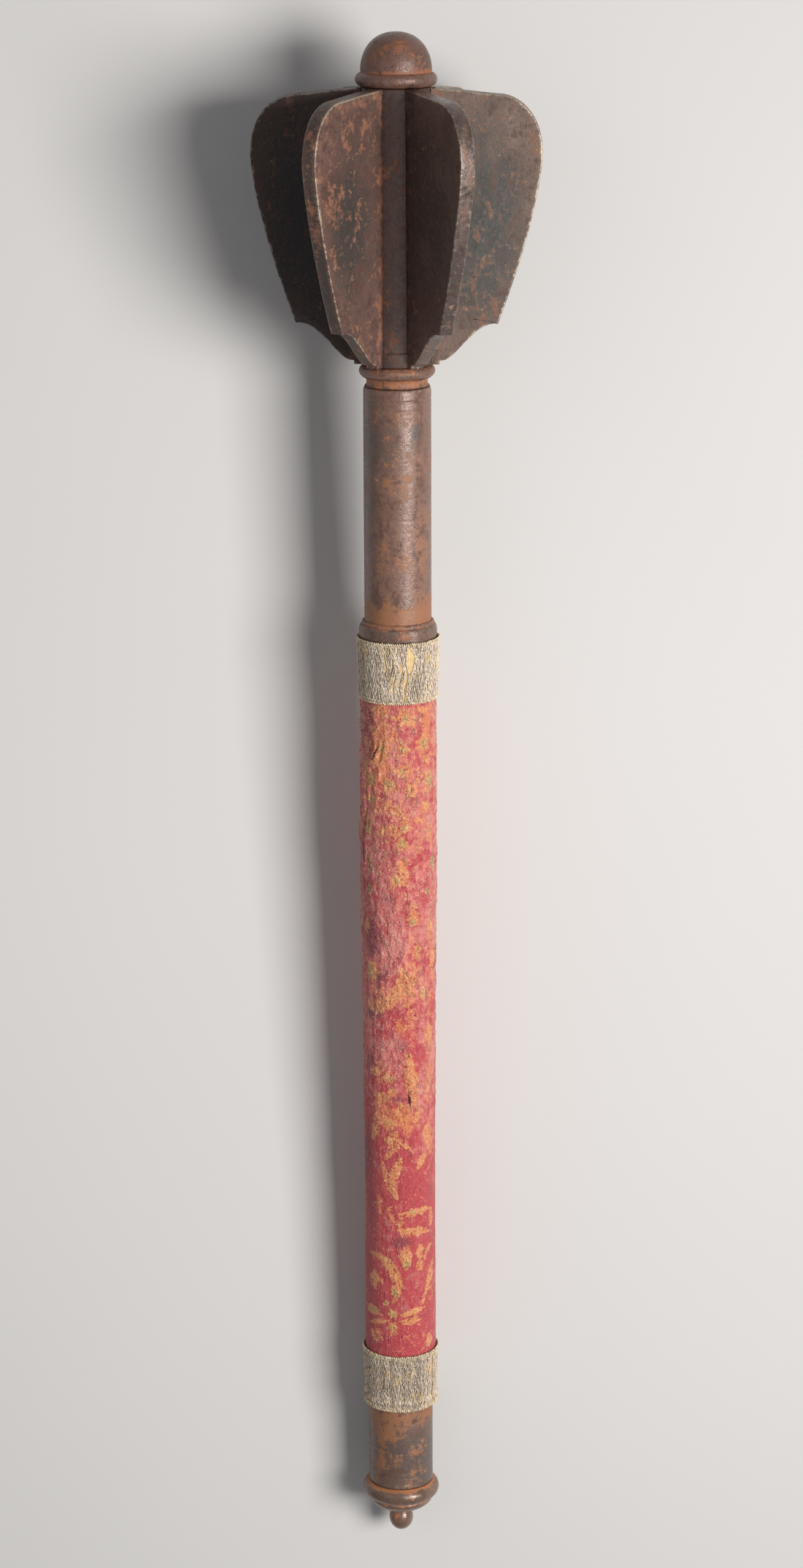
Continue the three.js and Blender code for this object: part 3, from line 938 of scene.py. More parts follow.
@dataclass
class Finishes:
    """Every material of the mace, made once, with one for each tone that the flanges have: the black flange
    iron is painted shade and the grey one is partly painted reflection.
    """

    finial: Material
    warm: Material
    grey_and_reflection: Material
    dim: Material
    painted_shade_iron: Material
    socket: Material
    collar: Material
    shaft: Material
    ring: Material
    pommel: Material
    brocade: Material
    threads: Material
    edging: Material
    silk: Material
    sewing: Material

    @classmethod
    def make(cls) -> "Finishes":
        """Makes the shader groups and the materials.

        Returns:
            The materials.
        """
        patina, weave = make_patina_group(), make_weave_group()
        iron = {
            "finial": IronFinish(
                "iron_finial", (0.2, 0.108, 0.082), (0.08, 0.052, 0.045), (0.31, 0.12, 0.06),
                rust_amount=0.32, dark_amount=0.38, worn_amount=0.12, roughness=0.36, metal=0.2),
            "warm": IronFinish(
                "iron_flange_warm", (0.178, 0.1, 0.082), (0.061, 0.054, 0.048), (0.3, 0.128, 0.076),
                (0.46, 0.36, 0.26), rust_amount=0.36, dark_amount=0.46, worn_amount=0.8, metal=0.15,
                pit_depth=0.00015),
            # A lighter, greyer copy of the flange iron, for flanges 2 and 3 on the light's side: partly the
            # iron's own tone, partly painted reflection.
            "grey_and_reflection": IronFinish(
                "iron_flange_grey_reflection", (0.225, 0.153, 0.124), (0.09, 0.092, 0.088), (0.25, 0.122, 0.075),
                (0.48, 0.39, 0.29), rust_amount=0.34, dark_amount=0.48, worn_amount=0.9, roughness=0.38,
                metal=0.2, pit_depth=0.00011),
            "dim": IronFinish(
                "iron_flange_dim", (0.15, 0.108, 0.092), (0.06, 0.053, 0.05), (0.24, 0.12, 0.08),
                rust_amount=0.22, worn_amount=0.7, roughness=0.3, metal=0.4, pit_depth=0.00015),
            # Painted shade: a darker copy of the flange iron, for the flanges on the side away from the
            # light.
            "painted_shade_iron": IronFinish(
                "iron_flange_painted_shade", (0.098, 0.06, 0.05), (0.036, 0.033, 0.034), (0.2, 0.1, 0.065),
                rust_amount=0.22, dark_amount=0.5, worn_amount=0.6, roughness=0.42, metal=0.25),
            "socket": IronFinish(
                "iron_socket", (0.08, 0.043, 0.034), (0.035, 0.024, 0.021), (0.18, 0.075, 0.045),
                rust_amount=0.26, worn_amount=0.1, roughness=0.62, metal=0.0),
            "collar": IronFinish(
                "iron_collar", (0.24, 0.125, 0.088), rust=(0.39, 0.155, 0.066), rust_amount=0.38,
                dark_amount=0.32, worn_amount=0.15, roughness=0.42, metal=0.2),
            "shaft": IronFinish(
                "iron_shaft", (0.23, 0.125, 0.094), (0.12, 0.094, 0.083), (0.33, 0.145, 0.07),
                (0.62, 0.48, 0.38), rust_amount=0.25, dark_amount=0.34, worn_amount=0.35, roughness=0.33,
                metal=0.12, pit_depth=0.00015),
            "ring": IronFinish(
                "iron_ring", (0.2, 0.122, 0.095), rust=(0.38, 0.16, 0.08), rust_amount=0.36, worn_amount=0.2,
                roughness=0.34, metal=0.2),
            "pommel": IronFinish(
                "iron_pommel", (0.26, 0.16, 0.12), (0.12, 0.08, 0.064), (0.46, 0.19, 0.08), rust_amount=0.26,
                worn_amount=0.25, roughness=0.25, metal=0.25, pit_depth=0.00011),
        }
        edging = ThreadFinish("edging_threads", (0.98, 0.86, 0.62), (0.5, 0.38, 0.24), metal=0.15)
        sewing = ThreadFinish("sewing_thread", (0.5, 0.14, 0.12), (0.3, 0.07, 0.07), (0.5, 0.2, 0.12),
                              metal=0.0, roughness=0.7)
        return cls(
            **{part: finish.material(patina) for part, finish in iron.items()},
            brocade=BrocadeFinish("brocade").material(weave),
            threads=ThreadFinish("metal_threads").material(),
            edging=edging.material(),
            silk=SilkFinish("yellow_silk").material(weave),
            sewing=sewing.material(),
        )


# Geometry trees

def grow(name: str, tree: Tree, values: dict[str, object]) -> Mesh:
    """Runs a geometry tree once and keeps what it makes as a plain mesh.

    Args:
        name: Name of the mesh.
        tree: The geometry tree.
        values: Its inputs by name.

    Returns:
        The mesh, in the upright frame, in metres.
    """
    holder = bpy.data.objects.new(name, bpy.data.meshes.new(name))
    bpy.context.scene.collection.objects.link(holder)
    modifier = holder.modifiers.new("grow", "NODES")
    modifier.node_group = tree
    for item in tree.interface.items_tree:
        if item.in_out == "INPUT" and item.name in values:
            modifier[item.identifier] = values[item.name]
    holder.update_tag()
    graph = bpy.context.evaluated_depsgraph_get()
    mesh = bpy.data.meshes.new_from_object(holder.evaluated_get(graph))
    holder.modifiers.remove(modifier)
    bpy.data.objects.remove(holder)
    mesh.name = name
    return mesh


def new_shape_tree(name: str, numbers: Sequence[str], wholes: Sequence[str]) -> tuple[Sketch, dict, Node]:
    """Starts a geometry tree that takes numbers, whole numbers and a finish, and gives one mesh."""
    takes = {**dict.fromkeys(numbers, Kind.NUMBER), **dict.fromkeys(wholes, Kind.WHOLE),
             "Finish": Kind.MATERIAL}
    return new_group(name, "GeometryNodeTree", takes, {"Mesh": Kind.SHAPE})


def make_parting_group() -> Tree:
    """Makes the push that parts a band's threads round a worn, lens-shaped hole.

    Returns:
        A geometry group that gives the push along the band, in metres.
    """
    labels = ("Arc", "Height", "Middle Arc", "Middle Height", "Lean", "Half Length", "Half Width", "Fade")
    takes = dict.fromkeys(labels, Kind.NUMBER)
    s, take, end = new_group("thread_parting", "GeometryNodeTree", takes, {"Push": Kind.NUMBER})
    rise = s.minus(take["Height"], take["Middle Height"])
    off = s.minus(take["Arc"], take["Middle Arc"])
    along = s.math("DIVIDE", rise, take["Half Length"])
    lens = s.math("MAXIMUM", s.minus(1.0, s.times(along, along)), 0.0)
    away = s.math("DIVIDE", s.math("ABSOLUTE", off), take["Fade"])
    near = s.math("EXPONENT", s.times(away, -1.0))
    wide = s.math("EXPONENT", s.times(away, -0.4))
    push = s.times(s.math("SIGN", off), s.times(take["Half Width"], s.times(lens, near)))
    leaning = s.times(s.times(rise, take["Lean"]), s.times(lens, wide))
    s.set_inputs(end, {"Push": s.plus(push, leaning)})
    return s.tree


@dataclass(frozen=True)
class Parting:
    """A worn hole in a galloon's threads: its middle, half sizes and lean, in millimetres.

    A galloon is given its holes with the arc in degrees, and turns it into a length at its own radius.
    """

    arc: float
    height: float
    half_length: float
    half_width: float
    lean: float = 0.0

    def bared(self, arcs: Array, heights: Array) -> Array:
        """Returns 1 in the hole and 0 away from it, at every point."""
        rise = heights - self.height
        lens = 1 - (rise / self.half_length) ** 2
        off = np.abs(arcs - self.arc - rise * self.lean * np.clip(lens, 0, 1)) / (self.half_width * 1.35)
        return smooth_step(lens, -0.1, 0.25) * smooth_step(-off, -1.25, -0.85)


def holes(*rows: tuple) -> tuple[Parting, ...]:
    """Returns worn holes from rows of arc, height, half length, half width and lean."""
    return tuple(Parting(*row) for row in rows)


def make_band_tree(name: str, partings: Sequence[Parting]) -> Tree:
    """Makes a band of upright threads that wander, and part round worn holes.

    Args:
        name: The tree's name.
        partings: The holes.

    Returns:
        The geometry tree.
    """
    numbers = ("Radius", "Foot", "Top", "Thread Radius", "Sway", "Flow", "Crossing", "Seed")
    s, take, end = new_shape_tree(name, numbers, ("Threads", "Steps"))
    index = s.made_by("GeometryNodeInputIndex")
    turn = s.times(s.math("DIVIDE", index, take["Threads"]), 2 * math.pi)
    spot = s.round_axis(take["Radius"], turn, 0.0)
    starts = s.made_by("GeometryNodePoints", {"Count": take["Threads"], "Position": spot})
    ends = {"Start": s.point(z=take["Foot"]), "End": s.point(z=take["Top"])}
    line = s.made_by("GeometryNodeCurvePrimitiveLine", ends)
    line = s.made_by("GeometryNodeResampleCurve", {"Curve": line, "Count": take["Steps"]})
    threads = s.made_by("GeometryNodeInstanceOnPoints", {"Points": starts, "Instance": line})
    threads = s.made_by("GeometryNodeRealizeInstances", {0: threads})
    tones = {0: threads, "Name": "tone", "Value": s.chance(index, 0, 0.0, 1.0)}
    threads = s.made_by("GeometryNodeStoreNamedAttribute", tones, data_type="FLOAT", domain="CURVE")
    tone = s.made_by("GeometryNodeInputNamedAttribute", {"Name": "tone"}, data_type="FLOAT")

    position = s.made_by("GeometryNodeInputPosition")
    parts = s.add("ShaderNodeSeparateXYZ", {0: position})
    height = parts.outputs[2]
    angle = s.math("ARCTAN2", parts.outputs[1], parts.outputs[0])
    arc_at = s.times(angle, take["Radius"])
    place = s.vector("ADD", position, s.point(take["Seed"]))
    sway = s.minus(s.noise(s.vector("MULTIPLY", place, (1.0, 1.0, 0.7)), 260.0, 2.0, 0.5), 0.5)
    flow = s.minus(s.noise(place, 85.0, 1.0, 0.5), 0.5)
    wave = s.math("SINE", s.plus(s.times(height, 900.0), s.times(tone, 40.0)))
    move = s.plus(s.times(sway, take["Sway"]), s.times(flow, take["Flow"]))
    move = s.plus(move, s.times(wave, take["Crossing"]))
    part_tree = make_parting_group()
    for hole in partings:
        group = s.add("GeometryNodeGroup", {
            "Arc": arc_at, "Height": height, "Middle Arc": hole.arc * MM, "Middle Height": hole.height * MM,
            "Lean": hole.lean, "Half Length": hole.half_length * MM, "Half Width": hole.half_width * MM,
            "Fade": 1.6 * MM}, node_tree=part_tree)
        move = s.plus(move, group.outputs[0])
    swing = s.math("DIVIDE", move, take["Radius"])
    rotation = {"Vector": position, "Axis": (0.0, 0.0, 1.0), "Angle": swing}
    turned = s.made_by("ShaderNodeVectorRotate", rotation)
    over = s.math("SINE", s.plus(s.times(height, 1500.0), s.times(tone, 60.0)))
    lift = s.plus(1.0, s.times(over, 0.006))
    turned = s.vector("MULTIPLY", turned, s.point(lift, lift, 1.0))
    threads = s.made_by("GeometryNodeSetPosition", {"Geometry": threads, "Position": turned})
    return s.finish_shape(end, s.thicken(threads, take["Thread Radius"]), take["Finish"])


def make_bead_row_tree() -> Tree:
    """Makes a ring of slanted beads, as a twisted edge cord or a row of stitches looks.

    Returns:
        The geometry tree.
    """
    numbers = ("Radius", "Station", "Length", "Thickness", "Slant", "Stray")
    s, take, end = new_shape_tree("bead_row", numbers, ("Beads", "Seed"))
    index = s.made_by("GeometryNodeInputIndex")
    turn = s.times(s.math("DIVIDE", index, take["Beads"]), 2 * math.pi)
    stray = s.chance(index, take["Seed"])
    station = s.plus(take["Station"], s.times(stray, take["Stray"]))
    spot = s.round_axis(take["Radius"], turn, station)
    points = s.made_by("GeometryNodePoints", {"Count": take["Beads"], "Position": spot})
    bead = s.made_by("GeometryNodeMeshUVSphere", {"Segments": 6, "Rings": 5, "Radius": 0.5})
    scale = s.point(take["Thickness"], take["Thickness"], take["Length"])
    bead = s.made_by("GeometryNodeTransform", {"Geometry": bead, "Scale": scale})
    tilt = s.point(s.plus(take["Slant"], s.times(stray, 0.3)), 0.0, turn)
    rows = s.made_by("GeometryNodeInstanceOnPoints", {"Points": points, "Instance": bead, "Rotation": tilt})
    size = s.chance(index, take["Seed"], 0.8, 1.25)
    rows = s.made_by("GeometryNodeScaleInstances", {"Instances": rows, "Scale": size})
    tones = {0: rows, "Name": "tone", "Value": s.math("ABSOLUTE", stray)}
    rows = s.made_by("GeometryNodeStoreNamedAttribute", tones, data_type="FLOAT", domain="INSTANCE")
    return s.finish_shape(end, rows, take["Finish"])


def make_fray_tree() -> Tree:
    """Makes loose fibres that stand out from a worn stretch of cloth.

    Returns:
        The geometry tree.
    """
    numbers = ("Radius", "Station", "Spread", "Angle", "Angle Spread", "Length", "Fibre Radius")
    s, take, end = new_shape_tree("loose_fibres", numbers, ("Fibres", "Seed"))
    index = s.made_by("GeometryNodeInputIndex")

    def chance(offset: int) -> Socket:
        """Returns a random number from -1 to 1 for every fibre."""
        return s.chance(index, s.plus(take["Seed"], float(offset)))

    turn = s.plus(take["Angle"], s.times(chance(1), take["Angle Spread"]))
    station = s.plus(take["Station"], s.times(chance(2), take["Spread"]))
    spot = s.round_axis(take["Radius"], turn, station)
    points = s.made_by("GeometryNodePoints", {"Count": take["Fibres"], "Position": spot})
    fibre = s.made_by("GeometryNodeCurvePrimitiveBezierSegment", {
        "Resolution": 8, "Start": (-0.1, 0.0, 0.0), "Start Handle": (0.5, 0.1, 0.35),
        "End Handle": (0.7, 0.3, -0.3), "End": (1.0, 0.25, 0.2)})
    tilt = s.point(s.times(chance(3), 1.4), s.times(chance(4), 0.9), s.plus(turn, s.times(chance(5), 0.6)))
    size = s.times(take["Length"], s.plus(0.75, s.times(chance(6), 0.35)))
    placed = {"Points": points, "Instance": fibre, "Rotation": tilt, "Scale": size}
    fibres = s.made_by("GeometryNodeInstanceOnPoints", placed)
    fibres = s.made_by("GeometryNodeRealizeInstances", {0: fibres})
    return s.finish_shape(end, s.thicken(fibres, take["Fibre Radius"]), take["Finish"])


def hand_over(piece: Piece, slot: str, *nodes: str) -> Piece:
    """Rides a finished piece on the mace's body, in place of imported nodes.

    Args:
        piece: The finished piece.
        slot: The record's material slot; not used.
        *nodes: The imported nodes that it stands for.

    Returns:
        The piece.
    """
    if nodes:
        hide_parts(*nodes)
    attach(piece, BODY)
    log.info("%s: %d faces, stands for %s", piece.name, len(piece.data.polygons), nodes or "itself")
    return piece


# The head

@dataclass
class Flange:
    """One plate of the head, in the plane of radius and height above the head's foot."""

    number: int
    foot: float
    height: float
    radius: float
    socket: float
    band: float
    angle: float
    thick_top: float = 7.4
    thick_foot: float = 6.2
    edge_shade: float = 0.0
    widest_below_top: float = 28.3
    corner: tuple[float, float] = (44.3, 17.8)
    foot_reach: float = 2.9
    step: tuple[float, float] = (1.0, 1.6)
    top_slope: float = 0.1
    shoulder_share: float = 0.36
    edge_round: float = 0.5
    spacing: float = 0.9
    rungs: int = 34

    def outline(self) -> Array:
        """Draws the plate's free edge from the top of its root to its foot.

        Returns:
            Rows of [radius, height].
        """
        start = self.radius - self.shoulder_share * (self.radius - self.socket)
        top = self.height - self.top_slope * (start - self.socket)
        widest = self.height - self.widest_below_top
        drop, reach = top - widest, self.radius - start
        corner_r, corner_h = self.corner
        side, fall = self.radius - corner_r, widest - corner_h
        foot_r = self.band + self.foot_reach
        step_r, step_h = foot_r + self.step[0], self.step[1]
        ogee, dip = corner_r - step_r, corner_h - step_h
        path = [[self.socket + 0.8, self.height], [start, top]]
        path += bezier(path[-1], (start + 0.6 * reach, top - 0.07 * drop),
                       (self.radius, widest + 0.54 * drop), (self.radius, widest), 34)
        path += bezier(path[-1], (self.radius, widest - 0.19 * fall),
                       (corner_r + 0.5 * side, corner_h + 0.326 * fall), (corner_r, corner_h), 60)
        path += bezier(path[-1], (corner_r - 0.42 * ogee, corner_h + 0.1 * dip),
                       (step_r + 0.253 * ogee, step_h), (step_r, step_h), 34)
        path += [[foot_r, step_h], [foot_r, 0.0]]
        return evenly(path, self.spacing)

    def shell(self) -> Shell:
        """Builds the plate with rounded, worn edges and slightly uneven faces.

        Returns:
            The closed surface.
        """
        seed = 40 + 10 * self.number
        edge = self.outline()
        ahead = np.gradient(edge, axis=0)
        outward = np.stack([-ahead[:, 1], ahead[:, 0]], axis=1)
        outward *= np.sign((outward * (edge - [self.socket, self.height / 2])).sum(axis=1))[:, None]
        outward /= np.linalg.norm(outward, axis=1)[:, None]
        run = np.concatenate([[0], np.cumsum(np.linalg.norm(np.diff(edge, axis=0), axis=1))])
        rough = np.stack([run, np.full(len(run), float(seed))], axis=1)
        edge = edge + outward * (0.12 * layered_noise(rough, (11, 9), seed) - 0.08)[:, None]
        rounding = self.edge_round * (1 + 0.6 * layered_noise(rough, (7, 9), seed + 3))
        share = run / run[-1]
        root = np.stack([np.full(len(edge), self.socket - 0.15), self.height * (1 - share)], axis=1)

        radial, across, marks = [], [], []
        bends = np.radians([0, 22, 45, 68, 90])
        for row in range(len(edge)):
            b = rounding[row]
            half = self.half_thickness(edge[row, 1])
            inset = edge[row] - outward[row] * b
            rungs = np.linspace(0, 1, self.rungs)[:, None] ** 0.8
            face = root[row] + (inset - root[row]) * rungs
            face_half = self.half_thickness(face[:, 1])
            turn = [edge[row] - outward[row] * b * (1 - math.sin(a)) for a in bends[1:]]
            turn_half = [half - b * (1 - math.cos(a)) for a in bends[1:]]
            flat = [edge[row]] * 3
            flat_half = [(half - b) * k for k in (0.5, 0.0, -0.5)]
            radial.append(np.vstack([face, turn, flat, turn[::-1], face[::-1]]))
            across.append(np.concatenate([face_half, turn_half, flat_half, [-t for t in turn_half[::-1]],
                                          -face_half[::-1]]))
            away = np.linalg.norm(inset - face, axis=1)
            ridge = np.concatenate([0.42 * np.exp(-away / 0.35), [0.45, 0.5, 0.42, 0.2], [0.06, 0.03, 0.06]])
            ridge *= 1 + 0.5 * (edge[row, 1] > 0.9 * self.height)
            marks.append(np.concatenate([ridge, ridge[:-3][::-1]]))
        radial, across = np.array(radial), np.array(across)
        count, around = across.shape
        flat_points = np.stack([radial[..., 0].ravel(), radial[..., 1].ravel(), across.ravel()], axis=1)
        uneven = layered_noise(flat_points, (16, 22, 9), seed + 5) * 0.14
        uneven += layered_noise(flat_points, (3.5, 5, 9), seed + 7) * 0.035
        flat_points[:, 2] -= np.sign(flat_points[:, 2]) * np.abs(uneven) * (np.abs(flat_points[:, 2]) > 1)
        faces = ring_faces(count, around, False)
        for base in (0, (count - 1) * around):
            for j in range(around // 2):
                low, high = base + j, base + around - 1 - j
                if high - low > 1:
                    cap = (low, low + 1, high - 1, high) if high - low > 2 else (low, low + 1, high)
                    faces.append(cap if base else tuple(reversed(cap)))
        return self.stand_up(flat_points, faces, np.array(marks).ravel(), seed)

    def half_thickness(self, height: Array | float) -> Array | float:
        """Returns half the plate's thickness at a height."""
        return (self.thick_foot + (self.thick_top - self.thick_foot) * height / self.height) / 2

    def stand_up(self, flat: Array, faces: list, ridge: Array, seed: int) -> Shell:
        """Places the flat plate on the socket and marks its rust, its dark scale and any painted shade on
        its edge band.

        Args:
            flat: Rows of [radius, height, offset across the plate].
            faces: Its faces.
            ridge: How worn each point is.
            seed: The plate's own number for noise.

        Returns:
            The surface in the upright frame.
        """
        turn = math.radians(self.angle)
        radial = np.array([math.cos(turn), math.sin(turn), 0.0])
        tangent = np.array([-math.sin(turn), math.cos(turn), 0.0])
        points = flat[:, :1] * radial + flat[:, 2:] * tangent + (self.foot + flat[:, 1:2]) * [0, 0, 1]
        radius, height = flat[:, 0], flat[:, 1]
        middle = np.exp(-(((radius - 39) / 14) ** 2) - ((height - 62) / 30) ** 2)
        cloudy = layered_noise(flat, (11, 30, 30), seed + 11)
        rim = np.exp(-(self.radius - radius) / 8) + np.exp(-height / 12)
        rim += 0.6 * np.exp(-(self.height - height) / 9)
        root = np.exp(-(radius - self.socket) / 2.5)
        # edge_shade adds painted shade to the edge band; only the front-left flange, whose edge faces away
        # from the light, sets it.
        dark = 0.42 * middle + 0.12 * cloudy - 0.18 * rim + self.edge_shade * (np.abs(flat[:, 2]) < 1.7)
        rust = 0.16 * rim + 0.24 * root + 0.1 * cloudy - 0.1 * middle
        return Shell(points, faces, {"ridge": ridge, "rust": rust, "dark": dark})


@dataclass
class MaceHead:
    """The finial, the socket and the six flanges."""

    axis: MaceAxis
    finishes: Finishes
    flange_count: int = 6
    finial_bead: float = 6.0
    groove: float = 0.35
    dome_radius_share: float = 0.873
    dome_fullness: float = 2.2
    band_height: float = 6.3
    band_reach: float = 0.6
    band_edge: float = 0.25
    wall: float = 3.6

    def build(self) -> None:
        """Builds every piece of the head."""
        self.build_finial()
        self.build_socket()
        for number in range(1, self.flange_count + 1):
            self.build_flange(number)

    def build_finial(self) -> None:
        """Builds the bead and the dome, with rust in the groove between them."""
        foot, top = self.axis.span("finial")
        widest = self.axis.reach("finial")
        half = self.finial_bead / 2
        dome_r = widest * self.dome_radius_share
        base = foot + self.finial_bead - self.groove
        profile = [[foot, 0.0], [foot, widest - half - 0.6]]
        profile += arc((foot + half, widest - half), (half, half), -84, 72)
        profile += [[base, dome_r + 0.25], [base + self.groove, dome_r - 0.15]]
        rise = top - base - self.groove
        for angle in np.radians(np.linspace(4, 88, 40)):
            share = math.sin(angle)
            narrowing = (1 - share**self.dome_fullness) ** (1 / self.dome_fullness)
            profile.append([base + self.groove + rise * share, dome_r * narrowing])
        profile.append([top, 0.0])
        rust = spots((foot + 6.2, 0, 2.0, 90, 0.5), (foot + 14, -34, 7, 9, 0.25), (foot + 17, 6, 5, 8, 0.2))
        dark = spots((foot + 12, 60, 12, 16, 0.2), (foot + 17, -50, 12, 20, 0.15))
        piece = TurnedPiece("finial_dome", profile, around=160, dents=0.09, seed=11, rust=rust, dark=dark)
        piece.set_up(self.axis, self.finishes.finial, "iron_finial", "finial")

    def build_socket(self) -> None:
        """Builds the tube between the flanges, with the raised band at its foot."""
        foot, top = self.axis.span("head_socket")
        outer = self.axis.reach("head_socket")
        tube, bore = outer - self.band_reach, outer - self.wall
        band_top, edge = foot + self.band_height, self.band_edge
        profile = [[foot, bore], [foot, outer - edge], [foot + edge, outer]]
        profile += [[band_top - edge, outer], [band_top, outer - edge]]
        profile += [[band_top + 0.1, tube], [top, tube], [top, bore], [foot, bore]]
        piece = TurnedPiece("head_tube", profile, hollow=True, around=120, step=1.0, dents=0.06, seed=21,
                            rust=spots((foot + 8, -20, 9, 14, 0.35)))
        piece.set_up(self.axis, self.finishes.socket, "iron_head", "head_socket")

    def build_flange(self, number: int) -> None:
        """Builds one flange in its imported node's place."""
        node = f"flange_{number}"
        points = self.axis.upright(node)
        far = points[np.hypot(points[:, 0], points[:, 1]) > 60].mean(axis=0)
        foot, top = self.axis.span("head_socket")
        outer = self.axis.reach("head_socket")
        plate = Flange(number, foot, top - foot, self.axis.reach(node), outer - self.band_reach, outer,
                       math.degrees(math.atan2(far[1], far[0])), edge_shade=0.5 if number == 6 else 0.0)
        looks = self.finishes
        # Flanges 4 and 5, on the side away from the light, take the darker copy of the iron as painted
        # shade.
        finish = {6: looks.warm, 2: looks.grey_and_reflection, 3: looks.grey_and_reflection, 1: looks.dim}.get(number, looks.painted_shade_iron)
        made = plate.shell().to_object(f"flange_plate_{number}", finish, self.axis)
        hand_over(made, "iron_head", node)


# The shaft and what is turned with it

@dataclass
class Shaft:
    """The iron tube, the collar, the bead ring and the pommel."""

    axis: MaceAxis
    finishes: Finishes
    wall: float = 2.5
    scribe: float = 0.45
    mouth_inset: float = 0.7
    mouth_round: float = 2.4
    collar_hollow: float = 4.1
    button_radius: float = 5.6
    button_half: float = 6.4
    button_neck: float = 4.2
    disc_foot: float = 12.2
    disc_height: float = 6.4

    def build(self) -> None:
        """Builds every iron piece below the head."""
        self.build_tube()
        self.build_collar()
        self.build_ring()
        self.build_pommel()

    def build_tube(self) -> None:
        """Builds the tube, with scribed lines under its mouth and finer steps where it shows."""
        foot, top = self.axis.span("shaft")
        radius = self.axis.reach("shaft")
        covered_from = self.axis.span("galloon_lower")[0] + 5
        covered_to = self.axis.span("galloon_upper")[1] - 5
        profile = [[foot, radius - self.wall], [foot, radius]]
        for line, depth in ((foot + 5.5, 0.1), (foot + 8.5, 0.08), (top - 98.5, 0.12), (top - 58, 0.08),
                            (top - 9.5, 0.12), (top - 5.3, 0.3)):
            profile += [[line - self.scribe, radius], [line, radius - depth], [line + self.scribe, radius]]
        mouth = radius - self.mouth_inset
        profile += arc((top - self.mouth_round, mouth), (self.mouth_round, self.mouth_inset), 0, 84, 8)
        profile += [[top, mouth], [top, radius - self.wall], [foot, radius - self.wall]]
        rust = spots(
            (covered_to + 15.5, 8, 12, 60, 0.75), (covered_to + 21, -48, 16, 18, 0.25),
            (covered_to + 20, 60, 20, 16, 0.3), (top - 75, 14, 9, 12, 0.4), (top - 42, -8, 8, 12, 0.4),
            (top - 36, 44, 12, 10, 0.25), (top - 66, 52, 26, 12, 0.35), (top - 12, -10, 7, 50, 0.15),
            (top - 70, -20, 20, 8, 0.2), (covered_from - 8.5, 0, 8, 120, 0.75),
            (covered_from - 17, -26, 12, 16, 0.65), (covered_from - 30, -30, 10, 12, 0.45),
            (covered_from - 27, 27, 6, 8, 0.6), (foot + 8, -25, 12, 30, 0.2))
        dark = spots(
            (top - 19, 38, 6, 5, 0.8), (top - 14, -60, 22, 12, 0.2), (covered_from - 28, 15, 30, 50, 0.34),
            (foot + 10, 60, 30, 16, 0.25), (top - 50, -70, 90, 16, 0.2), (foot + 18, 180, 40, 80, 0.3),
            (top - 30, -36, 40, 12, 0.15), (covered_from - 8, -20, 4, 6, 0.6),
            (covered_from - 8, 34, 4, 7, 0.5))
        piece = TurnedPiece("shaft_tube", profile, hollow=True, step=0.9, dents=0.06, seed=31, rust=rust,
                            dark=dark, loose_spans=((covered_from, covered_to, 18.0),))
        piece.set_up(self.axis, self.finishes.shaft, "iron_shaft", "shaft")

    def build_collar(self) -> None:
        """Builds the hollow and the bead under the head."""
        foot, top = self.axis.span("neck_collar")
        widest = self.axis.reach("neck_collar")
        tube = self.axis.reach("shaft")
        half = (top - foot - self.collar_hollow) / 2
        middle = foot + self.collar_hollow / 2
        waist, lip = tube - 1.5, tube + 0.3
        profile = [[foot, 0.0], [foot, tube - 0.9], [foot + 0.2, tube - 0.7]]
        profile += arc((middle, tube - 0.7), (self.collar_hollow / 2, waist - tube + 0.7), -80, 0, 8)
        profile += arc((middle, lip), (self.collar_hollow / 2, waist - lip), 0, 84, 8)[1:]
        profile += [[foot + self.collar_hollow, lip], [foot + self.collar_hollow + 0.15, lip - 0.3]]
        profile += arc((foot + self.collar_hollow + half, widest - half), (half, half), -72, 78, 20)
        profile += [[top, widest - half], [top, 0.0]]
        rust = spots((middle, 0, 5, 90, 0.32), (top - 1, -20, 3, 50, 0.2))
        piece = TurnedPiece("collar", profile, around=150, step=0.45, dents=0.06, seed=41, rust=rust,
                            dark=spots((top - 2.5, 45, 5, 20, 0.2)))
        piece.set_up(self.axis, self.finishes.collar, "iron_collar", "neck_collar")

    def build_ring(self) -> None:
        """Builds the bead ring that stops the grip, with its fine groove."""
        foot, top = self.axis.span("grip_ring")
        widest = self.axis.reach("grip_ring")
        bore = self.axis.reach("shaft") + 0.15
        fillet = widest - 1.1
        groove = top - 2.0
        profile = [[foot, bore], [foot, widest - 0.6], [foot + 1.2, widest]]
        profile += arc(((foot + groove) / 2, fillet), ((groove - foot) / 2, 1.1), 0, 84, 14)[1:]
        profile += [[groove + 0.3, fillet - 0.4], [groove + 0.6, fillet - 0.05], [top - 0.9, fillet - 0.2]]
        profile += [[top - 0.3, bore + 0.75], [top, bore + 0.15], [top, bore], [foot, bore]]
        rust = spots((groove + 0.5, 0, 2, 90, 0.35), (top, -20, 2, 60, 0.3))
        piece = TurnedPiece("bead_ring", profile, hollow=True, around=150, step=0.4, seed=51, rust=rust)
        piece.set_up(self.axis, self.finishes.ring, "iron_shaft", "grip_ring")

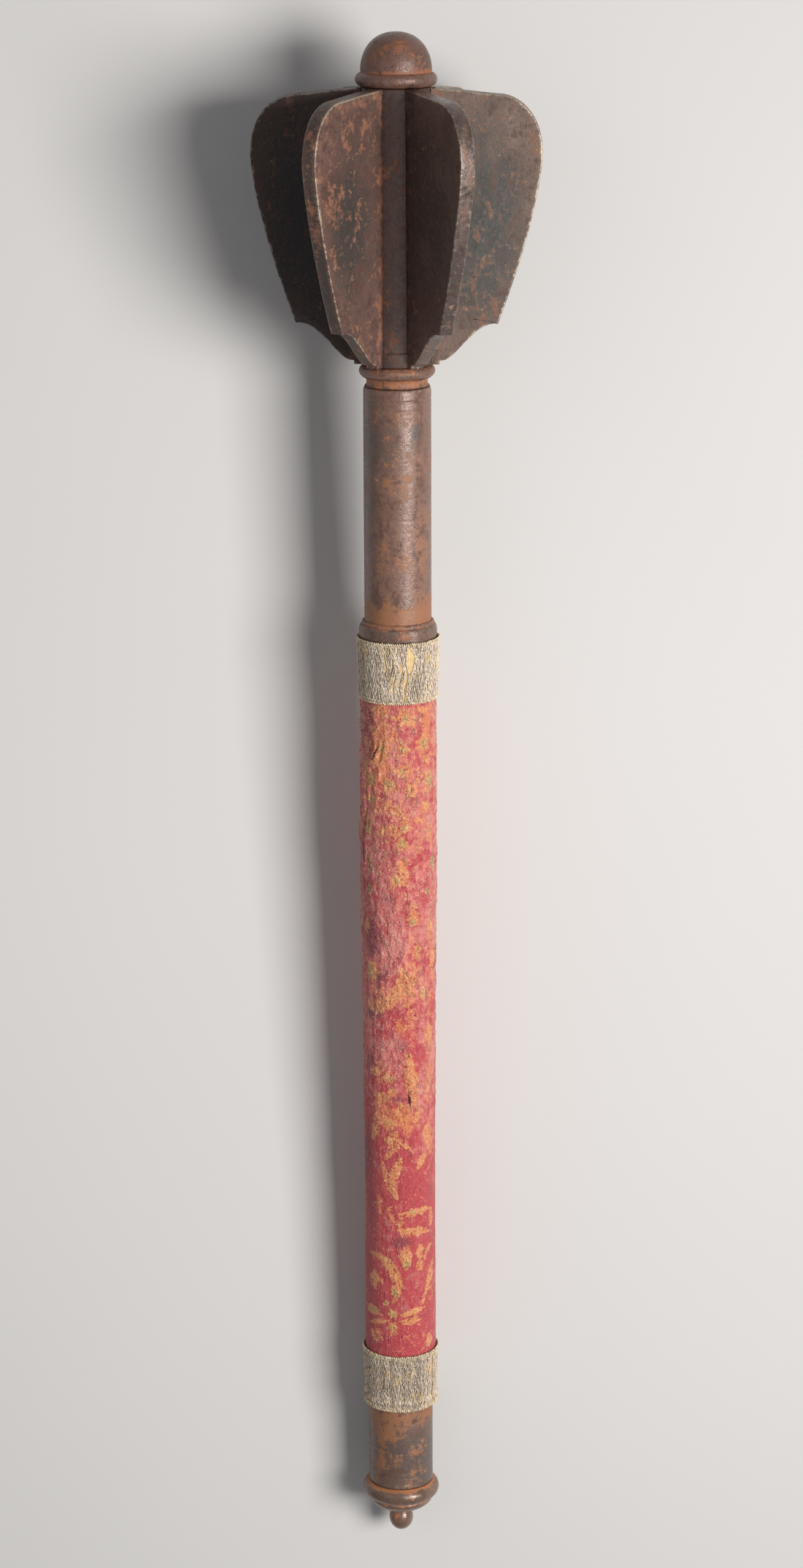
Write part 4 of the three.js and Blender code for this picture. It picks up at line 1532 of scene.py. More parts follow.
    def build_pommel(self) -> None:
        """Builds the ring, the disc and the button at the mace's end."""
        foot, top = self.axis.span("pommel")
        widest = self.axis.reach("pommel")
        tube = self.axis.reach("shaft")
        neck = math.degrees(math.acos(self.button_neck / self.button_radius))
        disc_top = foot + self.disc_foot + self.disc_height
        profile = arc((foot + self.button_half, 0.0), (self.button_half, self.button_radius), -90, neck, 30)
        disc_reach = tube + 0.1 - self.button_neck
        profile += arc((disc_top, self.button_neck), (self.disc_height, disc_reach), -88, -4, 26)
        profile += [[disc_top, tube - 0.15], [disc_top + 0.25, tube - 0.1]]
        half = (top - disc_top) / 2
        profile += arc((disc_top + half, widest - half + 0.1), (half, half - 0.1), -74, 70, 26)
        profile += [[top - 0.15, tube + 0.55], [top, tube + 0.3], [top, 0.0]]
        rust = spots((disc_top, 0, 1.6, 120, 0.4), (top, -10, 2.4, 160, 0.8), (foot + 9, 0, 5, 16, 0.15))
        piece = TurnedPiece("pommel_knob", profile, around=150, step=0.45, dents=0.07, seed=61, rust=rust,
                            dark=spots((disc_top + 4, -30, 8, 20, 0.15)))
        piece.set_up(self.axis, self.finishes.pommel, "iron_pommel", "pommel")


# The grip's brocade

class Figure(Enum):
    """The figures that the brocade is woven with."""

    BLOSSOM = "blossom"
    LEAF = "leaf"
    BOW = "bow"
    STROKE = "stroke"


@dataclass(frozen=True)
class Motif:
    """One woven figure: its place, its sizes in millimetres and its turn in degrees."""

    figure: Figure
    station: float
    angle: float
    length: float
    width: float
    turn: float = 0.0

    def distance(self, arcs: Array, stations: Array, radius: float) -> Array:
        """Distance to the figure's edge.

        Args:
            arcs: Angles of the points in degrees.
            stations: Their stations.
            radius: Radius that turns angles into lengths.

        Returns:
            Millimetres, negative inside the figure.
        """
        across = along_arc(arcs, self.angle, radius)
        along = stations - self.station
        turn = math.radians(self.turn)
        x = across * math.cos(turn) - along * math.sin(turn)
        y = across * math.sin(turn) + along * math.cos(turn)
        half_l, half_w = self.length / 2, self.width / 2
        if self.figure is Figure.BLOSSOM:
            petals = 0.82 + 0.18 * np.cos(6 * np.arctan2(y, x))
            return (np.hypot(x / half_w, y / half_l) - petals) * min(half_w, half_l)
        if self.figure is Figure.LEAF:
            belly = half_w * (1 - np.clip(np.abs(y) / half_l, 0, 1) ** 1.7)
            return np.where(np.abs(y) < half_l, np.abs(x) - belly, np.hypot(x, np.abs(y) - half_l))
        if self.figure is Figure.BOW:
            swing = np.degrees(np.arctan2(y, x))
            thin = half_w * np.clip(1.15 - (swing / 62) ** 2, 0.0, 1)
            return np.where(np.abs(swing) < 66, np.abs(np.hypot(x, y) - half_l) - thin, 9.0)
        wave = 0.25 * half_w * np.sin(y * 3.1)
        breadth = half_w * (1 - 0.5 * np.clip(np.abs(y) / half_l, 0, 1))
        return np.maximum(np.abs(x + wave) - breadth, np.abs(y) - half_l)


def figures(table: dict[Figure, tuple]) -> tuple[Motif, ...]:
    """Returns woven figures from rows of station, angle, length, width and turn, by figure."""
    return tuple(Motif(figure, *row) for figure, rows in table.items() for row in rows)


@dataclass(frozen=True)
class Crease:
    """A raised fold or a dip in the cloth, from one station and angle to another."""

    start: tuple[float, float]
    end: tuple[float, float]
    width: float
    rise: float

    def height(self, arcs: Array, stations: Array, radius: float) -> Array:
        """Height of the fold at every point.

        Args:
            arcs: Angles of the points in degrees.
            stations: Their stations.
            radius: Radius that turns angles into lengths.

        Returns:
            Millimetres above the cloth.
        """
        first = np.array([math.radians(self.start[1]) * radius, self.start[0]])
        last = np.array([math.radians(self.end[1]) * radius, self.end[0]])
        here = np.stack([along_arc(arcs, 0.0, radius), stations], axis=1) - first
        line = last - first
        share = np.clip(here @ line / (line @ line), 0, 1)
        bend = 0.35 * self.width * np.sin(share * 9 + self.start[0])
        away = np.linalg.norm(here - share[:, None] * line, axis=1) + bend * (share > 0) * (share < 1)
        taper = np.sqrt(np.clip(4 * share * (1 - share), 0, 1)) * 0.8 + 0.2
        return self.rise * taper * np.exp(-((away / (self.width / 2)) ** 2))


def folds(*rows: tuple) -> tuple[Crease, ...]:
    """Returns creases from rows of start, end, width and rise."""
    return tuple(Crease(*row) for row in rows)


@dataclass
class GripCover:
    """The worn brocade round the grip.

    Gaps are measured from the shaft: to the lining, to the middle of the cloth and to the fibres' roots.
    """

    axis: MaceAxis
    finishes: Finishes
    around: int = 156
    step: float = 0.72
    slack: float = 0.25
    bleed: float = 0.35
    middle_radius: float = 16.7
    grain_radius: float = 15.0
    lining_gap: float = 0.35
    flat_gap: float = 1.7
    fibre_gap: float = 1.5
    lowest: float = -0.9
    highest: float = 1.15
    edge_tuck: float = 1.5
    top_flowers: tuple[Motif, ...] = figures({
        Figure.BLOSSOM: (
            (405.5, -25, 6, 9), (402.5, 13, 8, 9),
        ),
        Figure.LEAF: (
            (390, 46, 9, 4.8),
        ),
        Figure.STROKE: (
            (405.5, 42, 2.6, 9, 12),
        ),
    })
    flowers: tuple[Motif, ...] = figures({
        Figure.BLOSSOM: (
            (388, -19, 8, 7), (388, 10, 7, 7), (378, 10, 7, 8), (373, -42, 8, 7), (372, -11, 7, 7),
            (372.5, 55, 11, 7), (369, 24, 8, 7), (363.6, -40, 7, 6), (362, -12, 6, 6), (352, 13, 7, 6),
            (350, -20, 6, 5), (382, -32, 6, 5), (360, 48, 7, 5), (327.5, 2, 7.5, 7), (314, 26, 5, 4.5),
            (308.5, 27, 7, 6.5), (283, -45, 11, 9.5), (267.5, 16, 3.4, 3.4), (235, -38, 5.5, 5.5),
            (232.5, -14, 5.6, 6), (225.4, -9.5, 4, 4), (222.5, -30, 6.5, 6.5), (202.3, -7.5, 9, 8.5),
            (139.5, 37, 5, 4), (116.4, -9.8, 5, 5), (109.6, -8.7, 6.5, 4.6),
        ),
        Figure.LEAF: (
            (344.5, 8, 8, 5, 10), (294, 34, 5.5, 3.4), (302, 58, 14, 3), (288, 66, 12, 3),
            (304, -56, 8, 4), (272.5, 44, 6.5, 4.4), (252, 57, 13, 4.4), (203, 52, 14, 3, -12),
            (187.5, -3, 13, 4.2, 22), (191, 41, 9, 3.4, 32), (144.5, 12.6, 13, 5.4, 4),
            (147, 37.7, 8, 3.6), (132, -44, 9, 5, 0), (133, 60, 15, 3.6, 24), (117.5, 26, 3.4, 13, -12),
            (101, 57, 7, 5),
        ),
        Figure.STROKE: (
            (394, -4, 5, 3, 20), (333, 9, 6, 4.5), (328, 12, 7, 3, 20), (277, 20, 9, 4, 8),
            (231, 23, 26, 5.4, -7), (229, 55, 10, 3), (216, 8, 8, 6), (211, -16, 6, 8),
            (214, 34, 8, 3.4, 30), (207, -40, 12, 4, 18), (199, 14, 1.6, 7, 28), (195.5, -14, 7, 2, 44),
            (184, -20, 15, 2, -16), (178, -6, 9, 1.6, -14), (170, -33, 9, 1.4, -6),
            (166, -12, 7, 1.5, -20), (166.6, 33, 3.2, 17.5, -3), (157, 28, 3.4, 19, 8), (162, 64, 8, 3, 0),
            (162.5, 5, 5, 2.6, 0), (146, 54, 7, 1.6, 40), (116.5, -48, 3.6, 12, 6), (133, -34, 1.8, 6, 30),
            (125, 48, 10, 1.6, 20), (113, 20, 3.4, 11, -4), (111.5, -36, 1.5, 13, -18),
            (106, -34, 8, 1.6, -40), (104, -44, 6, 1.4, -30),
        ),
        Figure.BOW: (
            (282, -47, 32, 5.4, 48), (130.5, -50, 29, 3.8, -28),
        ),
    })
    leaves: tuple[Motif, ...] = figures({
        Figure.BLOSSOM: (
            (402, 15, 3, 3.6), (388, 10, 3, 3), (372, -11, 4, 4.4), (378, 10, 3.4, 3.4), (352, 12, 3, 3),
            (363.6, -40, 3.4, 3.4), (369, 22, 3.4, 3.4), (327, 1, 3.4, 2.8), (307, 25, 3.6, 4),
        ),
        Figure.LEAF: (
            (390, 46, 6, 3.4), (388, -20, 4.4, 2.6, 10), (373, -43, 6, 4), (372.5, 56, 8, 4.4),
            (351, -46, 8, 4.4), (344.5, 8, 6, 3.4), (333.4, -46, 7, 4), (333.4, 64, 8, 4),
            (321.6, -47, 7, 4), (320.5, 52, 4, 4), (294, 35, 3, 2), (283, -46, 7, 3.4),
            (272.5, 44, 5, 3.2), (232, -12, 3, 3.6), (167, 24, 2.4, 2.8), (141, 13, 5, 3.2),
            (127.5, -6, 7, 3.6, -20), (116.4, -9.8, 4.4, 4), (109.6, -9.4, 5, 2.4),
            (121.5, -21, 3.4, 2.4, 60), (117, -46, 3, 6),
        ),
        Figure.STROKE: (
            (142.7, -18, 5, 1.3, -14),
        ),
    })
    # Patches of painted shade, most on the side away from the light.
    shadows: tuple[Patch, ...] = spots(
        (297, -44, 22, 9), (396, -50, 26, 9), (411, -40, 6, 6), (395, 30, 6, 9, 0.6), (402, 44, 8, 8, 0.7),
        (300, -42, 10, 9), (263, -36, 9, 12), (281, -25, 8, 8), (238, -46, 12, 9), (222, -3, 5, 10),
        (196, -62, 34, 9), (152, 6, 5, 12), (319, -6, 8, 6, 0.5), (340, -6, 6, 8, 0.7),
        (364, 26, 8, 8, 0.6), (174, 60, 10, 7, 0.5), (248, 10, 8, 7, 0.6), (168, -50, 30, 8, 0.6),
    )
    washes: tuple[Patch, ...] = spots(
        (215, -22, 18, 14, 0.9), (212, 14, 16, 12, 0.9), (236, -30, 12, 10, 0.7), (257, 4, 7, 6, 0.9),
        (262, 24, 34, 7, 0.6), (290, 30, 30, 9, 0.6), (283, 62, 60, 7, 0.7), (385, -24, 34, 9, 0.8),
        (272, -22, 12, 22, 0.7), (230, 56, 40, 6, 0.7), (398, 52, 26, 6, 0.7), (200, 62, 18, 6, 0.8),
        (322, 4, 16, 9, 0.4), (131, 58, 22, 6, 0.7), (131, -46, 12, 8, 0.6), (103, 40, 10, 20, 0.4),
    )
    creases: tuple[Crease, ...] = folds(
        ((397, -18), (367, -58), 2.2, 0.95), ((394, -12), (368, -36), 1.5, 0.6),
        ((393, -24), (372, -50), 1.2, -0.7), ((381, -44), (330, -58), 1.8, 0.8),
        ((402, -52), (330, -66), 2.2, 0.7), ((366, -76), (318, -72), 3.0, 0.8),
        ((322, 22), (301, 26), 1.5, 0.6), ((319, 23), (288, 11), 1.8, 0.8),
        ((289, 10), (266, 23), 1.8, 0.8), ((245, 14), (228, 22), 1.8, 0.8),
        ((301, 20), (262, 16), 2.2, 0.4), ((352, -58), (333, -62), 1.4, -0.5),
        ((292, 30), (268, 40), 1.8, 0.35), ((246, 19), (219, 29), 4.2, 0.55),
        ((250, 26), (224, 40), 1.6, 0.4), ((240, -40), (212, -28), 2.4, 0.35),
        ((200, -60), (170, -66), 2.6, 0.4), ((108, -78), (117, 52), 2.2, 0.55),
        ((103, -84), (109, 62), 2.4, 0.5), ((112.5, -60), (112.5, 30), 1.4, -0.35),
        ((100, -20), (105, 50), 2.0, 0.35), ((121, 40), (112, 74), 1.8, 0.4),
        ((262, 30), (240, 46), 2.2, 0.35), ((232, 16.5), (216, 22), 1.3, -0.9),
        ((208, 24), (186, 30), 1.6, 0.3),
    )
    slits: tuple[Crease, ...] = folds(
        ((231, 16.6), (216.5, 21.8), 1.1, 0.9), ((246, 18), (240, 20), 0.6, 0.8),
        ((385, -20), (381, -22), 0.7, 0.8), ((264, 28), (261, 29), 0.8, 0.8),
        ((350, -56), (332, -60), 0.8, 0.9), ((396, -17), (376, -50), 0.7, 0.75),
        ((357, -64), (330, -63), 0.8, 0.8), ((317, 24), (290, 13), 0.5, 0.6),
        ((288, 12), (268, 25), 0.5, 0.6), ((243, 16), (230, 23), 0.6, 0.7),
        ((402, -30), (392, -36), 0.6, 0.6),
    )

    def build(self, fray: Tree) -> None:
        """Builds the cloth and its loose fibres.

        Args:
            fray: The tree that makes loose fibres.
        """
        cloth = self.shell().to_object("brocade_cover", self.finishes.brocade, self.axis)
        hand_over(cloth, "brocade", "grip_cover")
        fibres = self.build_fibres(fray)
        foot, top = self.axis.span("grip_cover")
        round_it = 2 * math.pi * (self.axis.reach("shaft") + self.flat_gap) * MM

    def shell(self) -> Shell:
        """Wraps the cloth round the shaft with its creases, tears and woven figures.

        Returns:
            The closed surface.
        """
        foot, top = self.axis.span("grip_cover")
        levels = np.linspace(foot, top, int((top - foot) / self.step))
        turns = np.arange(self.around) * 360 / self.around
        station = np.repeat(levels, self.around)
        turn = np.tile(turns, len(levels))
        base = np.repeat(self.axis.outer_radius("grip_cover", levels), self.around) - self.slack
        radius = self.middle_radius
        arcs = along_arc(turn, 0.0, radius)
        smooth = on_cylinder(self.grain_radius, np.radians(turn), station)

        rise = 0.26 * layered_noise(smooth, (11, 11, 22), 3)
        worn = self.worn_share(station)
        for cell, depth, rubbed, seed in (((5, 5, 30), 0.14, 0.34, 5), ((3.2, 3.2, 6), 0.1, 0.34, 9),
                                          ((1.8, 1.8, 3.0), 0.07, 0.22, 13)):
            ridged = 1 - np.abs(layered_noise(smooth, cell, seed))
            rise += (depth + rubbed * worn) * (ridged**5 - 0.22)
        rise += (0.05 + 0.16 * worn) * layered_noise(smooth, (1.6, 1.6, 2.2), 7, 1)
        for crease in self.creases:
            rise += crease.height(turn, station, radius)
        slit = sum(s.height(turn, station, radius) for s in self.slits)
        seam = np.exp(-(((np.abs(arcs) - math.pi * radius) + 0.8 * np.sin(station / 17)) / 1.5) ** 2)
        rise += 0.45 * seam
        shown_from, shown_to = self.axis.span("galloon_lower")[1], self.axis.span("galloon_upper")[0]
        under = 1 - smooth_step(station, shown_from - self.edge_tuck, shown_from)
        under += smooth_step(station, shown_to, shown_to + self.edge_tuck)
        rise = np.clip(rise, self.lowest, self.highest) * (1 - 0.9 * under) - 0.2 * under
        outer = base + rise
        marks = self.figure_marks(turn, station, smooth)
        marks["slit"] = np.clip(slit, 0, 1)
        # Painted shade: the deeper the cloth dips, the darker it is marked.
        marks["dip"] = np.clip(-rise * 1.2, 0, 1)
        points = on_cylinder(outer, np.radians(turn), station)
        inner = self.axis.reach("shaft") + self.lining_gap
        lining = [on_cylinder(inner, np.radians(turns), level) for level in (top, foot)]
        points = np.vstack([points, *lining])
        plain = np.zeros(2 * self.around)
        marks = {name: np.concatenate([values, plain]) for name, values in marks.items()}
        flat = np.stack([arcs, station], axis=1)
        flat = np.vstack([flat, flat[-self.around:], flat[:self.around]]) * MM
        return Shell(points, ring_faces(len(levels) + 2, self.around, True), marks, flat)

    @staticmethod
    def worn_share(station: Array) -> Array:
        """Returns how rubbed the cloth is: most in the hand's place, least near the pommel."""
        return smooth_step(station, 170, 260) * (1 - 0.35 * smooth_step(station, 400, 425))

    def figure_marks(self, turn: Array, station: Array, smooth: Array) -> dict:
        """Marks the woven figures and the wear.

        Args:
            turn: Angles of the points in degrees.
            station: Their stations.
            smooth: Their places on a plain cylinder, for noise.

        Returns:
            Distances to gold and green figures, the wear, the painted shade and the orange wash, for every
            point.
        """
        radius = self.middle_radius
        far = np.full(len(turn), 9.0)
        gold, green = far, far
        for motif in self.all_flowers():
            gold = np.minimum(gold, motif.distance(turn, station, radius) - self.bleed)
        for motif in self.leaves:
            green = np.minimum(green, motif.distance(turn, station, radius))
        crowd = smooth_step(station, 318, 352) * (1 - 0.5 * smooth_step(station, 402, 420))
        patchy = layered_noise(smooth, (4, 4, 5), 71, 3)
        gold = np.minimum(gold, (0.7 - 0.54 * crowd - patchy) * 5 + 0.6)
        olive = layered_noise(smooth, (4, 4, 5), 83, 3)
        green = np.minimum(green, (1.0 - 0.35 * crowd - olive) * 5 + 0.6)
        wear = self.worn_share(station) * 0.7 + 0.5 * layered_noise(smooth, (9, 9, 20), 91)
        # Painted shade from the shadows table, with noise for an uneven plum tone.
        plum_and_shade = covered(self.shadows, station, turn, radius)
        plum_and_shade += 0.25 * layered_noise(smooth, (8, 8, 12), 97)
        wash = covered(self.washes, station, turn, radius)
        wash += 0.35 * crowd + 0.3 * self.worn_share(station) * layered_noise(smooth, (5, 5, 11), 101)
        marks = {"wear": np.clip(wear, 0, 1), "plum_and_shade": np.clip(plum_and_shade, 0, 1), "wash": np.clip(wash, 0, 1)}
        return {"gold": gold, "green": green, **marks}

    def all_flowers(self) -> list[Motif]:
        """Returns the figures of the front and, turned to the back, the same repeat again."""
        backs = [replace(m, station=m.station + 4, angle=m.angle + 172, turn=-m.turn) for m in self.flowers]
        return [*self.top_flowers, *self.flowers, *backs]

    def build_fibres(self, fray: Tree) -> Piece:
        """Builds the fibres that stand out where the cloth is frayed.

        Args:
            fray: The tree that makes loose fibres.

        Returns:
            The fibres as one piece.
        """
        radius = (self.axis.reach("shaft") + self.fibre_gap) * MM
        groups = (
            ("fray_top", 34, 400.0, 7.0, -78.0, 12.0, 1.5, 0.09, 5),
            ("fray_thread", 1, 384.7, 0.0, -75.0, 0.0, 3.6, 0.14, 8),
            ("fray_back", 16, 300.0, 110.0, 178.0, 10.0, 1.6, 0.07, 9),
            ("fray_slit", 9, 223.0, 3.0, 18.0, 4.0, 1.4, 0.08, 12),
        )
        meshes = []
        for name, count, station, spread, angle, angle_spread, length, thick, seed in groups:
            meshes.append(grow(name, fray, {
                "Fibres": count, "Radius": radius, "Station": station * MM, "Spread": spread * MM,
                "Angle": math.radians(angle), "Angle Spread": math.radians(angle_spread),
                "Length": length * MM, "Fibre Radius": thick * MM, "Seed": seed,
                "Finish": self.finishes.sewing}))
        piece = lay_along(joined(meshes, "loose_fibres"), "loose_fibres", self.finishes.sewing, self.axis)
        return hand_over(piece, "brocade")


def joined(meshes: Sequence[Mesh], name: str) -> Mesh:
    """Joins meshes of one material into a single mesh.

    Args:
        meshes: The meshes.
        name: Name of the result.

    Returns:
        The joined mesh, with the tone that each point carries.
    """
    points, faces, tones = [], [], []
    for mesh in meshes:
        base = len(points)
        points += [tuple(v.co) for v in mesh.vertices]
        faces += [tuple(base + i for i in face.vertices) for face in mesh.polygons]
        layer = mesh.attributes.get("tone")
        if layer is None:
            tones += [0.5] * len(mesh.vertices)
        elif layer.domain == "POINT":
            tones += [d.value for d in layer.data]
        else:
            raise ValueError(f"tone of {mesh.name} is kept on {layer.domain}")
    result = bpy.data.meshes.new(name)
    result.from_pydata(points, [], faces)
    result.attributes.new("tone", "FLOAT", "POINT").data.foreach_set("value", tones)
    return result


# The galloons

@dataclass
class Galloon:
    """A woven metal band: silk ground, wandering threads and beaded edges.

    The threads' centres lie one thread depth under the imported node's outer radius.
    """

    axis: MaceAxis
    finishes: Finishes
    node: str
    partings: tuple[Parting, ...]
    seed: float
    threads: int = 252
    thread_radius: float = 0.2
    thread_depth: float = 0.45
    around: int = 200
    step: float = 0.6
    tuck: float = 0.75
    silk_thickness: float = 0.35
    end_gap: float = 0.9
    steps: int = 27
    sway: float = 1.5
    flow: float = 3.2
    crossing: float = 0.16
    bead_stray: float = 0.14
    bead_sink: float = 0.32

    def build(self, rows: Tree) -> None:
        """Builds the silk, the threads and both edges as one band.

        Args:
            rows: The tree that makes rows of beads.
        """
        foot, top = self.axis.span(self.node)
        silk = self.silk_shell().to_object(f"{self.node}_silk", self.finishes.silk, self.axis)
        hand_over(silk, "galloon", self.node)
        tree = make_band_tree(f"{self.node}_threads", [self.measured(p) for p in self.partings])
        mesh = grow(f"{self.node}_threads", tree, {
            "Threads": self.threads, "Radius": self.flat_radius() * MM, "Foot": self.end_gap * MM,
            "Top": (top - foot - self.end_gap) * MM, "Steps": self.steps,
            "Thread Radius": self.thread_radius * MM, "Sway": self.sway * MM, "Flow": self.flow * MM,
            "Crossing": self.crossing * MM, "Seed": self.seed, "Finish": self.finishes.threads})
        self.follow(mesh)
        threads = lay_along(mesh, f"{self.node}_threads", self.finishes.threads, self.axis)
        hand_over(threads, "galloon")
        edges = self.build_edges(rows)
        2 * math.pi * self.flat_radius() * MM

    def flat_radius(self) -> float:
        """Returns the radius of the threads' centres where the band lies flat, in millimetres."""
        return self.axis.reach(self.node) - self.thread_depth

    def measured(self, hole: Parting) -> Parting:
        """Returns a hole with its arc as a length at the band's radius."""
        return replace(hole, arc=math.radians(hole.arc) * self.flat_radius())

    def profile(self, heights: Array) -> Array:
        """Returns the band's outer radius at heights above its foot, in millimetres."""
        foot, top = self.axis.span(self.node)
        return self.axis.outer_radius(self.node, foot + np.clip(heights, 0, top - foot))

    def follow(self, mesh: Mesh) -> None:
        """Bends threads that stand on a cylinder to the band's own profile, and lifts them to its place.

        Args:
            mesh: The threads, standing on the band's foot.
        """
        flat = np.empty(3 * len(mesh.vertices))
        mesh.vertices.foreach_get("co", flat)
        points = flat.reshape(-1, 3) / MM
        radius = np.hypot(points[:, 0], points[:, 1])
        turn = np.arctan2(points[:, 1], points[:, 0])
        height = points[:, 2]
        lift = self.profile(height) - self.thread_depth + self.slump(turn, height)
        points[:, :2] *= ((radius - self.flat_radius() + lift) / radius)[:, None]
        points[:, 2] += self.axis.span(self.node)[0]
        mesh.vertices.foreach_set("co", (points * MM).ravel())

    def slump(self, turn: Array, heights: Array) -> Array:
        """Returns the band's slight unevenness at angles in radians and heights, in millimetres."""
        return 0.12 * value_noise(on_cylinder(18, turn, heights), (10, 10, 14), int(self.seed * 10) + 5)

    def silk_shell(self) -> Shell:
        """Builds the silk ground, bare where the threads are worn away.

        Returns:
            The closed surface.
        """
        foot, top = self.axis.span(self.node)
        heights = np.linspace(0.35, top - foot - 0.35, int((top - foot) / self.step))
        turns = np.arange(self.around) * 2 * math.pi / self.around
        height = np.repeat(heights, self.around)
        turn = np.tile(turns, len(heights))
        outer = self.profile(height) - self.tuck + self.slump(turn, height)
        inner = outer - self.silk_thickness
        rows = []
        for radius, order in ((outer, 1), (inner, -1)):
            grid = on_cylinder(radius, turn, foot + height)
            rows.append(grid.reshape(len(heights), self.around, 3)[::order])
        points = np.concatenate(rows).reshape(-1, 3)
        arcs = ((turn + math.pi) % (2 * math.pi) - math.pi) * self.flat_radius()
        bared = sum((self.measured(p).bared(arcs, height) for p in self.partings), np.zeros(len(arcs)))
        flat = np.stack([arcs, height], axis=1).reshape(len(heights), self.around, 2)
        places = np.concatenate([flat, flat[::-1]]).reshape(-1, 2) * MM
        marks = {"bared": np.concatenate([np.clip(bared, 0, 1), np.zeros(len(bared))])}
        return Shell(points, ring_faces(2 * len(heights), self.around, True), marks, places)

    def build_edges(self, rows: Tree) -> Piece:
        """Builds the twisted cords along both edges, and a fine line of stitches inside each.

        Args:
            rows: The tree that makes rows of beads.

        Returns:
            The edges as one piece.
        """
        foot, top = self.axis.span(self.node)
        height = top - foot
        lines = (
            (0.75, 118, 1.55, 0.62, 0.45), (height - 0.75, 118, 1.55, 0.62, 0.45),
            (1.9, 150, 0.36, 0.7, 1.5), (height - 1.9, 150, 0.36, 0.7, 1.5),
        )
        meshes = []
        for place, beads, length, thick, slant in lines:
            radius = float(self.profile(np.array([place]))[0]) - self.bead_sink
            meshes.append(grow(f"{self.node}_edge", rows, {
                "Beads": beads, "Radius": radius * MM, "Station": (foot + place) * MM, "Length": length * MM,
                "Thickness": thick * MM, "Slant": slant, "Stray": self.bead_stray * MM,
                "Seed": int(self.seed * 10), "Finish": self.finishes.edging}))
        mesh = joined(meshes, f"{self.node}_edges")
        piece = lay_along(mesh, f"{self.node}_edges", self.finishes.edging, self.axis)
        return hand_over(piece, "galloon")


# The studio

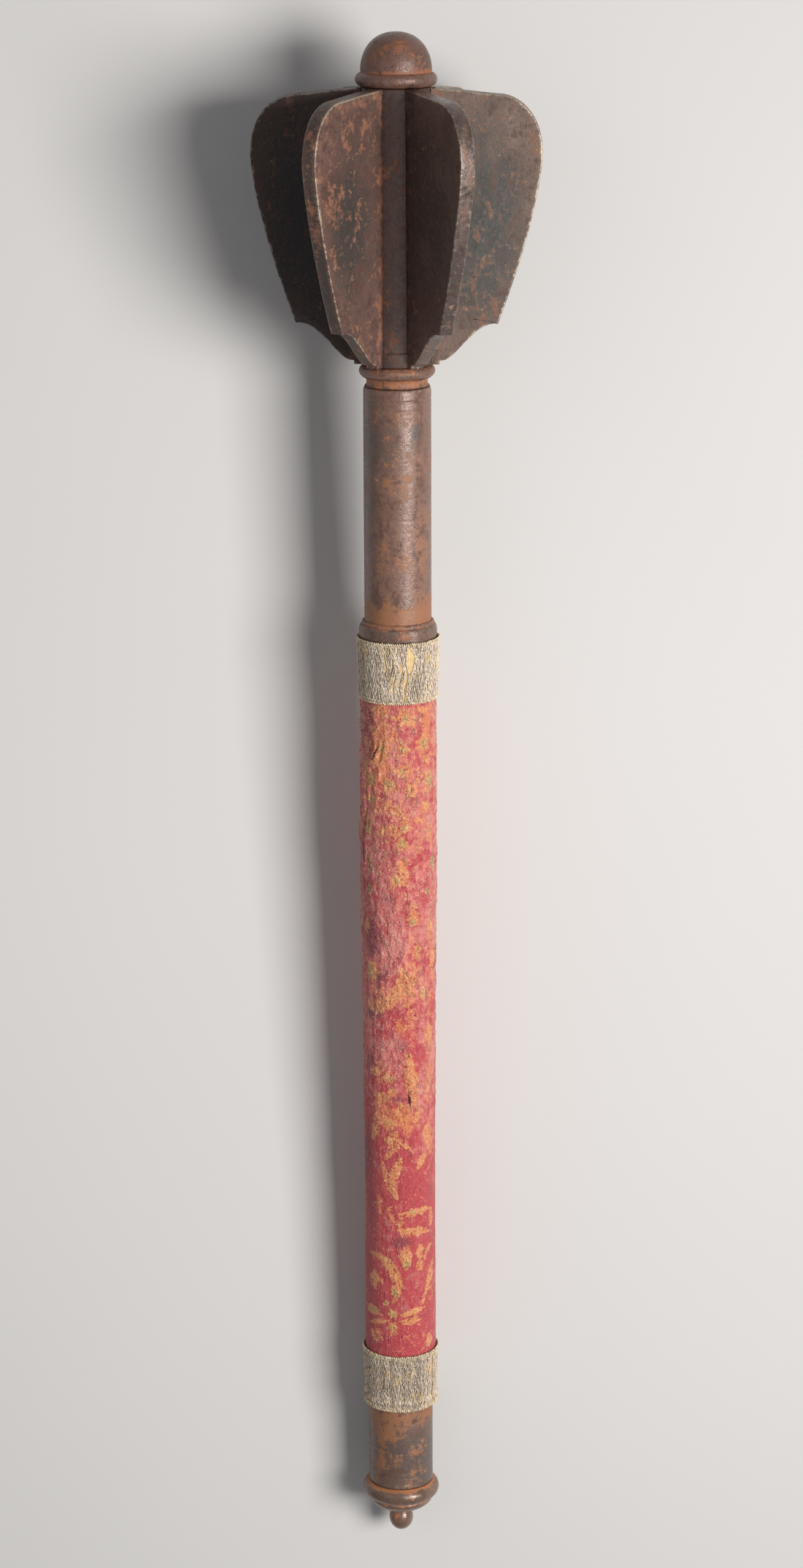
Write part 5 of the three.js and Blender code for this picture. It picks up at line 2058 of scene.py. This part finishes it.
@dataclass
class Studio:
    """The floor, the lights and the camera."""

    axis: MaceAxis
    lens: float = 87.15
    sensor: float = 36.0
    lean_to_axis: float = 15.05
    turn_round_axis: float = 3.6
    roll: float = 0.2
    aim_station: float = 367.7
    distance: float = 1716.5
    sidestep: float = 1.32

    def build(self) -> None:
        """Sets up the portrait."""
        self.build_floor()
        self.build_camera()
        self.build_lights()

    def build_floor(self) -> None:
        """Builds a wide pale floor under the mace."""
        mesh = bpy.data.meshes.new("floor")
        reach = 6.0
        corners = [(-reach, -reach, 0), (reach, -reach, 0), (reach, reach, 0), (-reach, reach, 0)]
        mesh.from_pydata(corners, [], [(0, 1, 2, 3)])
        mesh.materials.append(PaperFinish("pale_paper").material())
        floor = bpy.data.objects.new("floor", mesh)
        bpy.context.scene.collection.objects.link(floor)

    def build_camera(self) -> None:
        """Places the camera over the head's side, looking down on the lying mace."""
        turn, lean, roll = (math.radians(a) for a in (self.turn_round_axis, self.lean_to_axis, self.roll))
        axis = self.axis
        along, upward, sideways = Vector(axis.along), Vector(axis.upward), Vector(axis.sideways)
        facing = math.cos(turn) * upward + math.sin(turn) * sideways
        look = -(math.cos(lean) * facing + math.sin(lean) * along)
        top = math.cos(lean) * along - math.sin(lean) * facing
        right = look.cross(top)
        level = right
        right = math.cos(roll) * level - math.sin(roll) * top
        top = math.cos(roll) * top + math.sin(roll) * level
        aim = Vector(axis.tip) + along * self.aim_station * MM
        place = aim - look * self.distance * MM + right * self.sidestep * MM
        data = bpy.data.cameras.new("portrait")
        data.lens, data.sensor_width = self.lens, self.sensor
        data.clip_start, data.clip_end = 0.05, 50
        camera = bpy.data.objects.new("portrait", data)
        camera.matrix_world = Matrix.Translation(place) @ Matrix((right, top, -look)).transposed().to_4x4()
        bpy.context.scene.collection.objects.link(camera)
        bpy.context.scene.camera = camera

    def build_lights(self) -> None:
        """Sets a large soft light on the right and a dim, even room."""
        self.area("key", (1.27, 0.12, 1.62), (0.0, 0.04, 0.03), 0.85, 12.0, (1.0, 0.985, 0.965), 90)
        self.area("fill", (-1.6, 0.6, 2.2), (0.0, 0.0, 0.0), 1.8, 4.2, (0.97, 0.98, 1.0), 180)
        world = bpy.data.worlds.new("room")
        world.use_nodes = True
        world.node_tree.nodes["Background"].inputs[0].default_value = (0.97, 0.97, 1.0, 1)
        world.node_tree.nodes["Background"].inputs[1].default_value = 0.18
        bpy.context.scene.world = world
        bpy.context.scene.view_settings.view_transform = "Standard"

    @staticmethod
    def area(name: str, place: Sequence[float], aim: Sequence[float], size: float, power: float,
             colour: Colour, spread: float) -> None:
        """Hangs a square soft light.

        Args:
            name: Its name.
            place: Where it hangs.
            aim: What it points at.
            size: Its side in metres.
            power: Its power in watts.
            colour: Its colour.
            spread: How wide it shines, in degrees.
        """
        data = bpy.data.lights.new(name, "AREA")
        data.spread = math.radians(spread)
        data.shape, data.size, data.energy, data.color = "SQUARE", size, power, colour
        light = bpy.data.objects.new(name, data)
        light.location = place
        light.rotation_euler = (Vector(aim) - Vector(place)).to_track_quat("-Z", "Y").to_euler()
        bpy.context.scene.collection.objects.link(light)


def main() -> None:
    """Builds the studio and the mace."""
    logging.basicConfig(level=logging.INFO, format="%(name)s: %(message)s")
    axis = MaceAxis.from_frame()
    Studio(axis).build()
    finishes = Finishes.make()
    fray, rows = make_fray_tree(), make_bead_row_tree()
    MaceHead(axis, finishes).build()
    Shaft(axis, finishes).build()
    GripCover(axis, finishes).build(fray)
    upper_holes = holes(
        (20.0, 20.5, 6.4, 2.2, 0.12), (14.0, 10.5, 9.0, 0.8, 0.12), (-15.0, 18.0, 6.5, 0.55, -0.2),
        (-7.5, 17.5, 6.5, 0.5, 0.2), (-2.0, 9.5, 4.8, 0.8, 0.2), (6.0, 13.0, 6.0, 0.35, 0.25))
    lower_holes = holes(
        (-22, 16.4, 7.0, 0.5, 0.1), (-13, 17.4, 5.0, 0.35, -0.1), (14, 17.4, 4.5, 0.3, 0.3),
        (63.5, 14.3, 18.0, 0.75, 0.0))
    Galloon(axis, finishes, "galloon_upper", upper_holes, seed=1.7).build(rows)
    Galloon(axis, finishes, "galloon_lower", lower_holes, seed=4.3).build(rows)


if __name__ == "__main__":
    main()
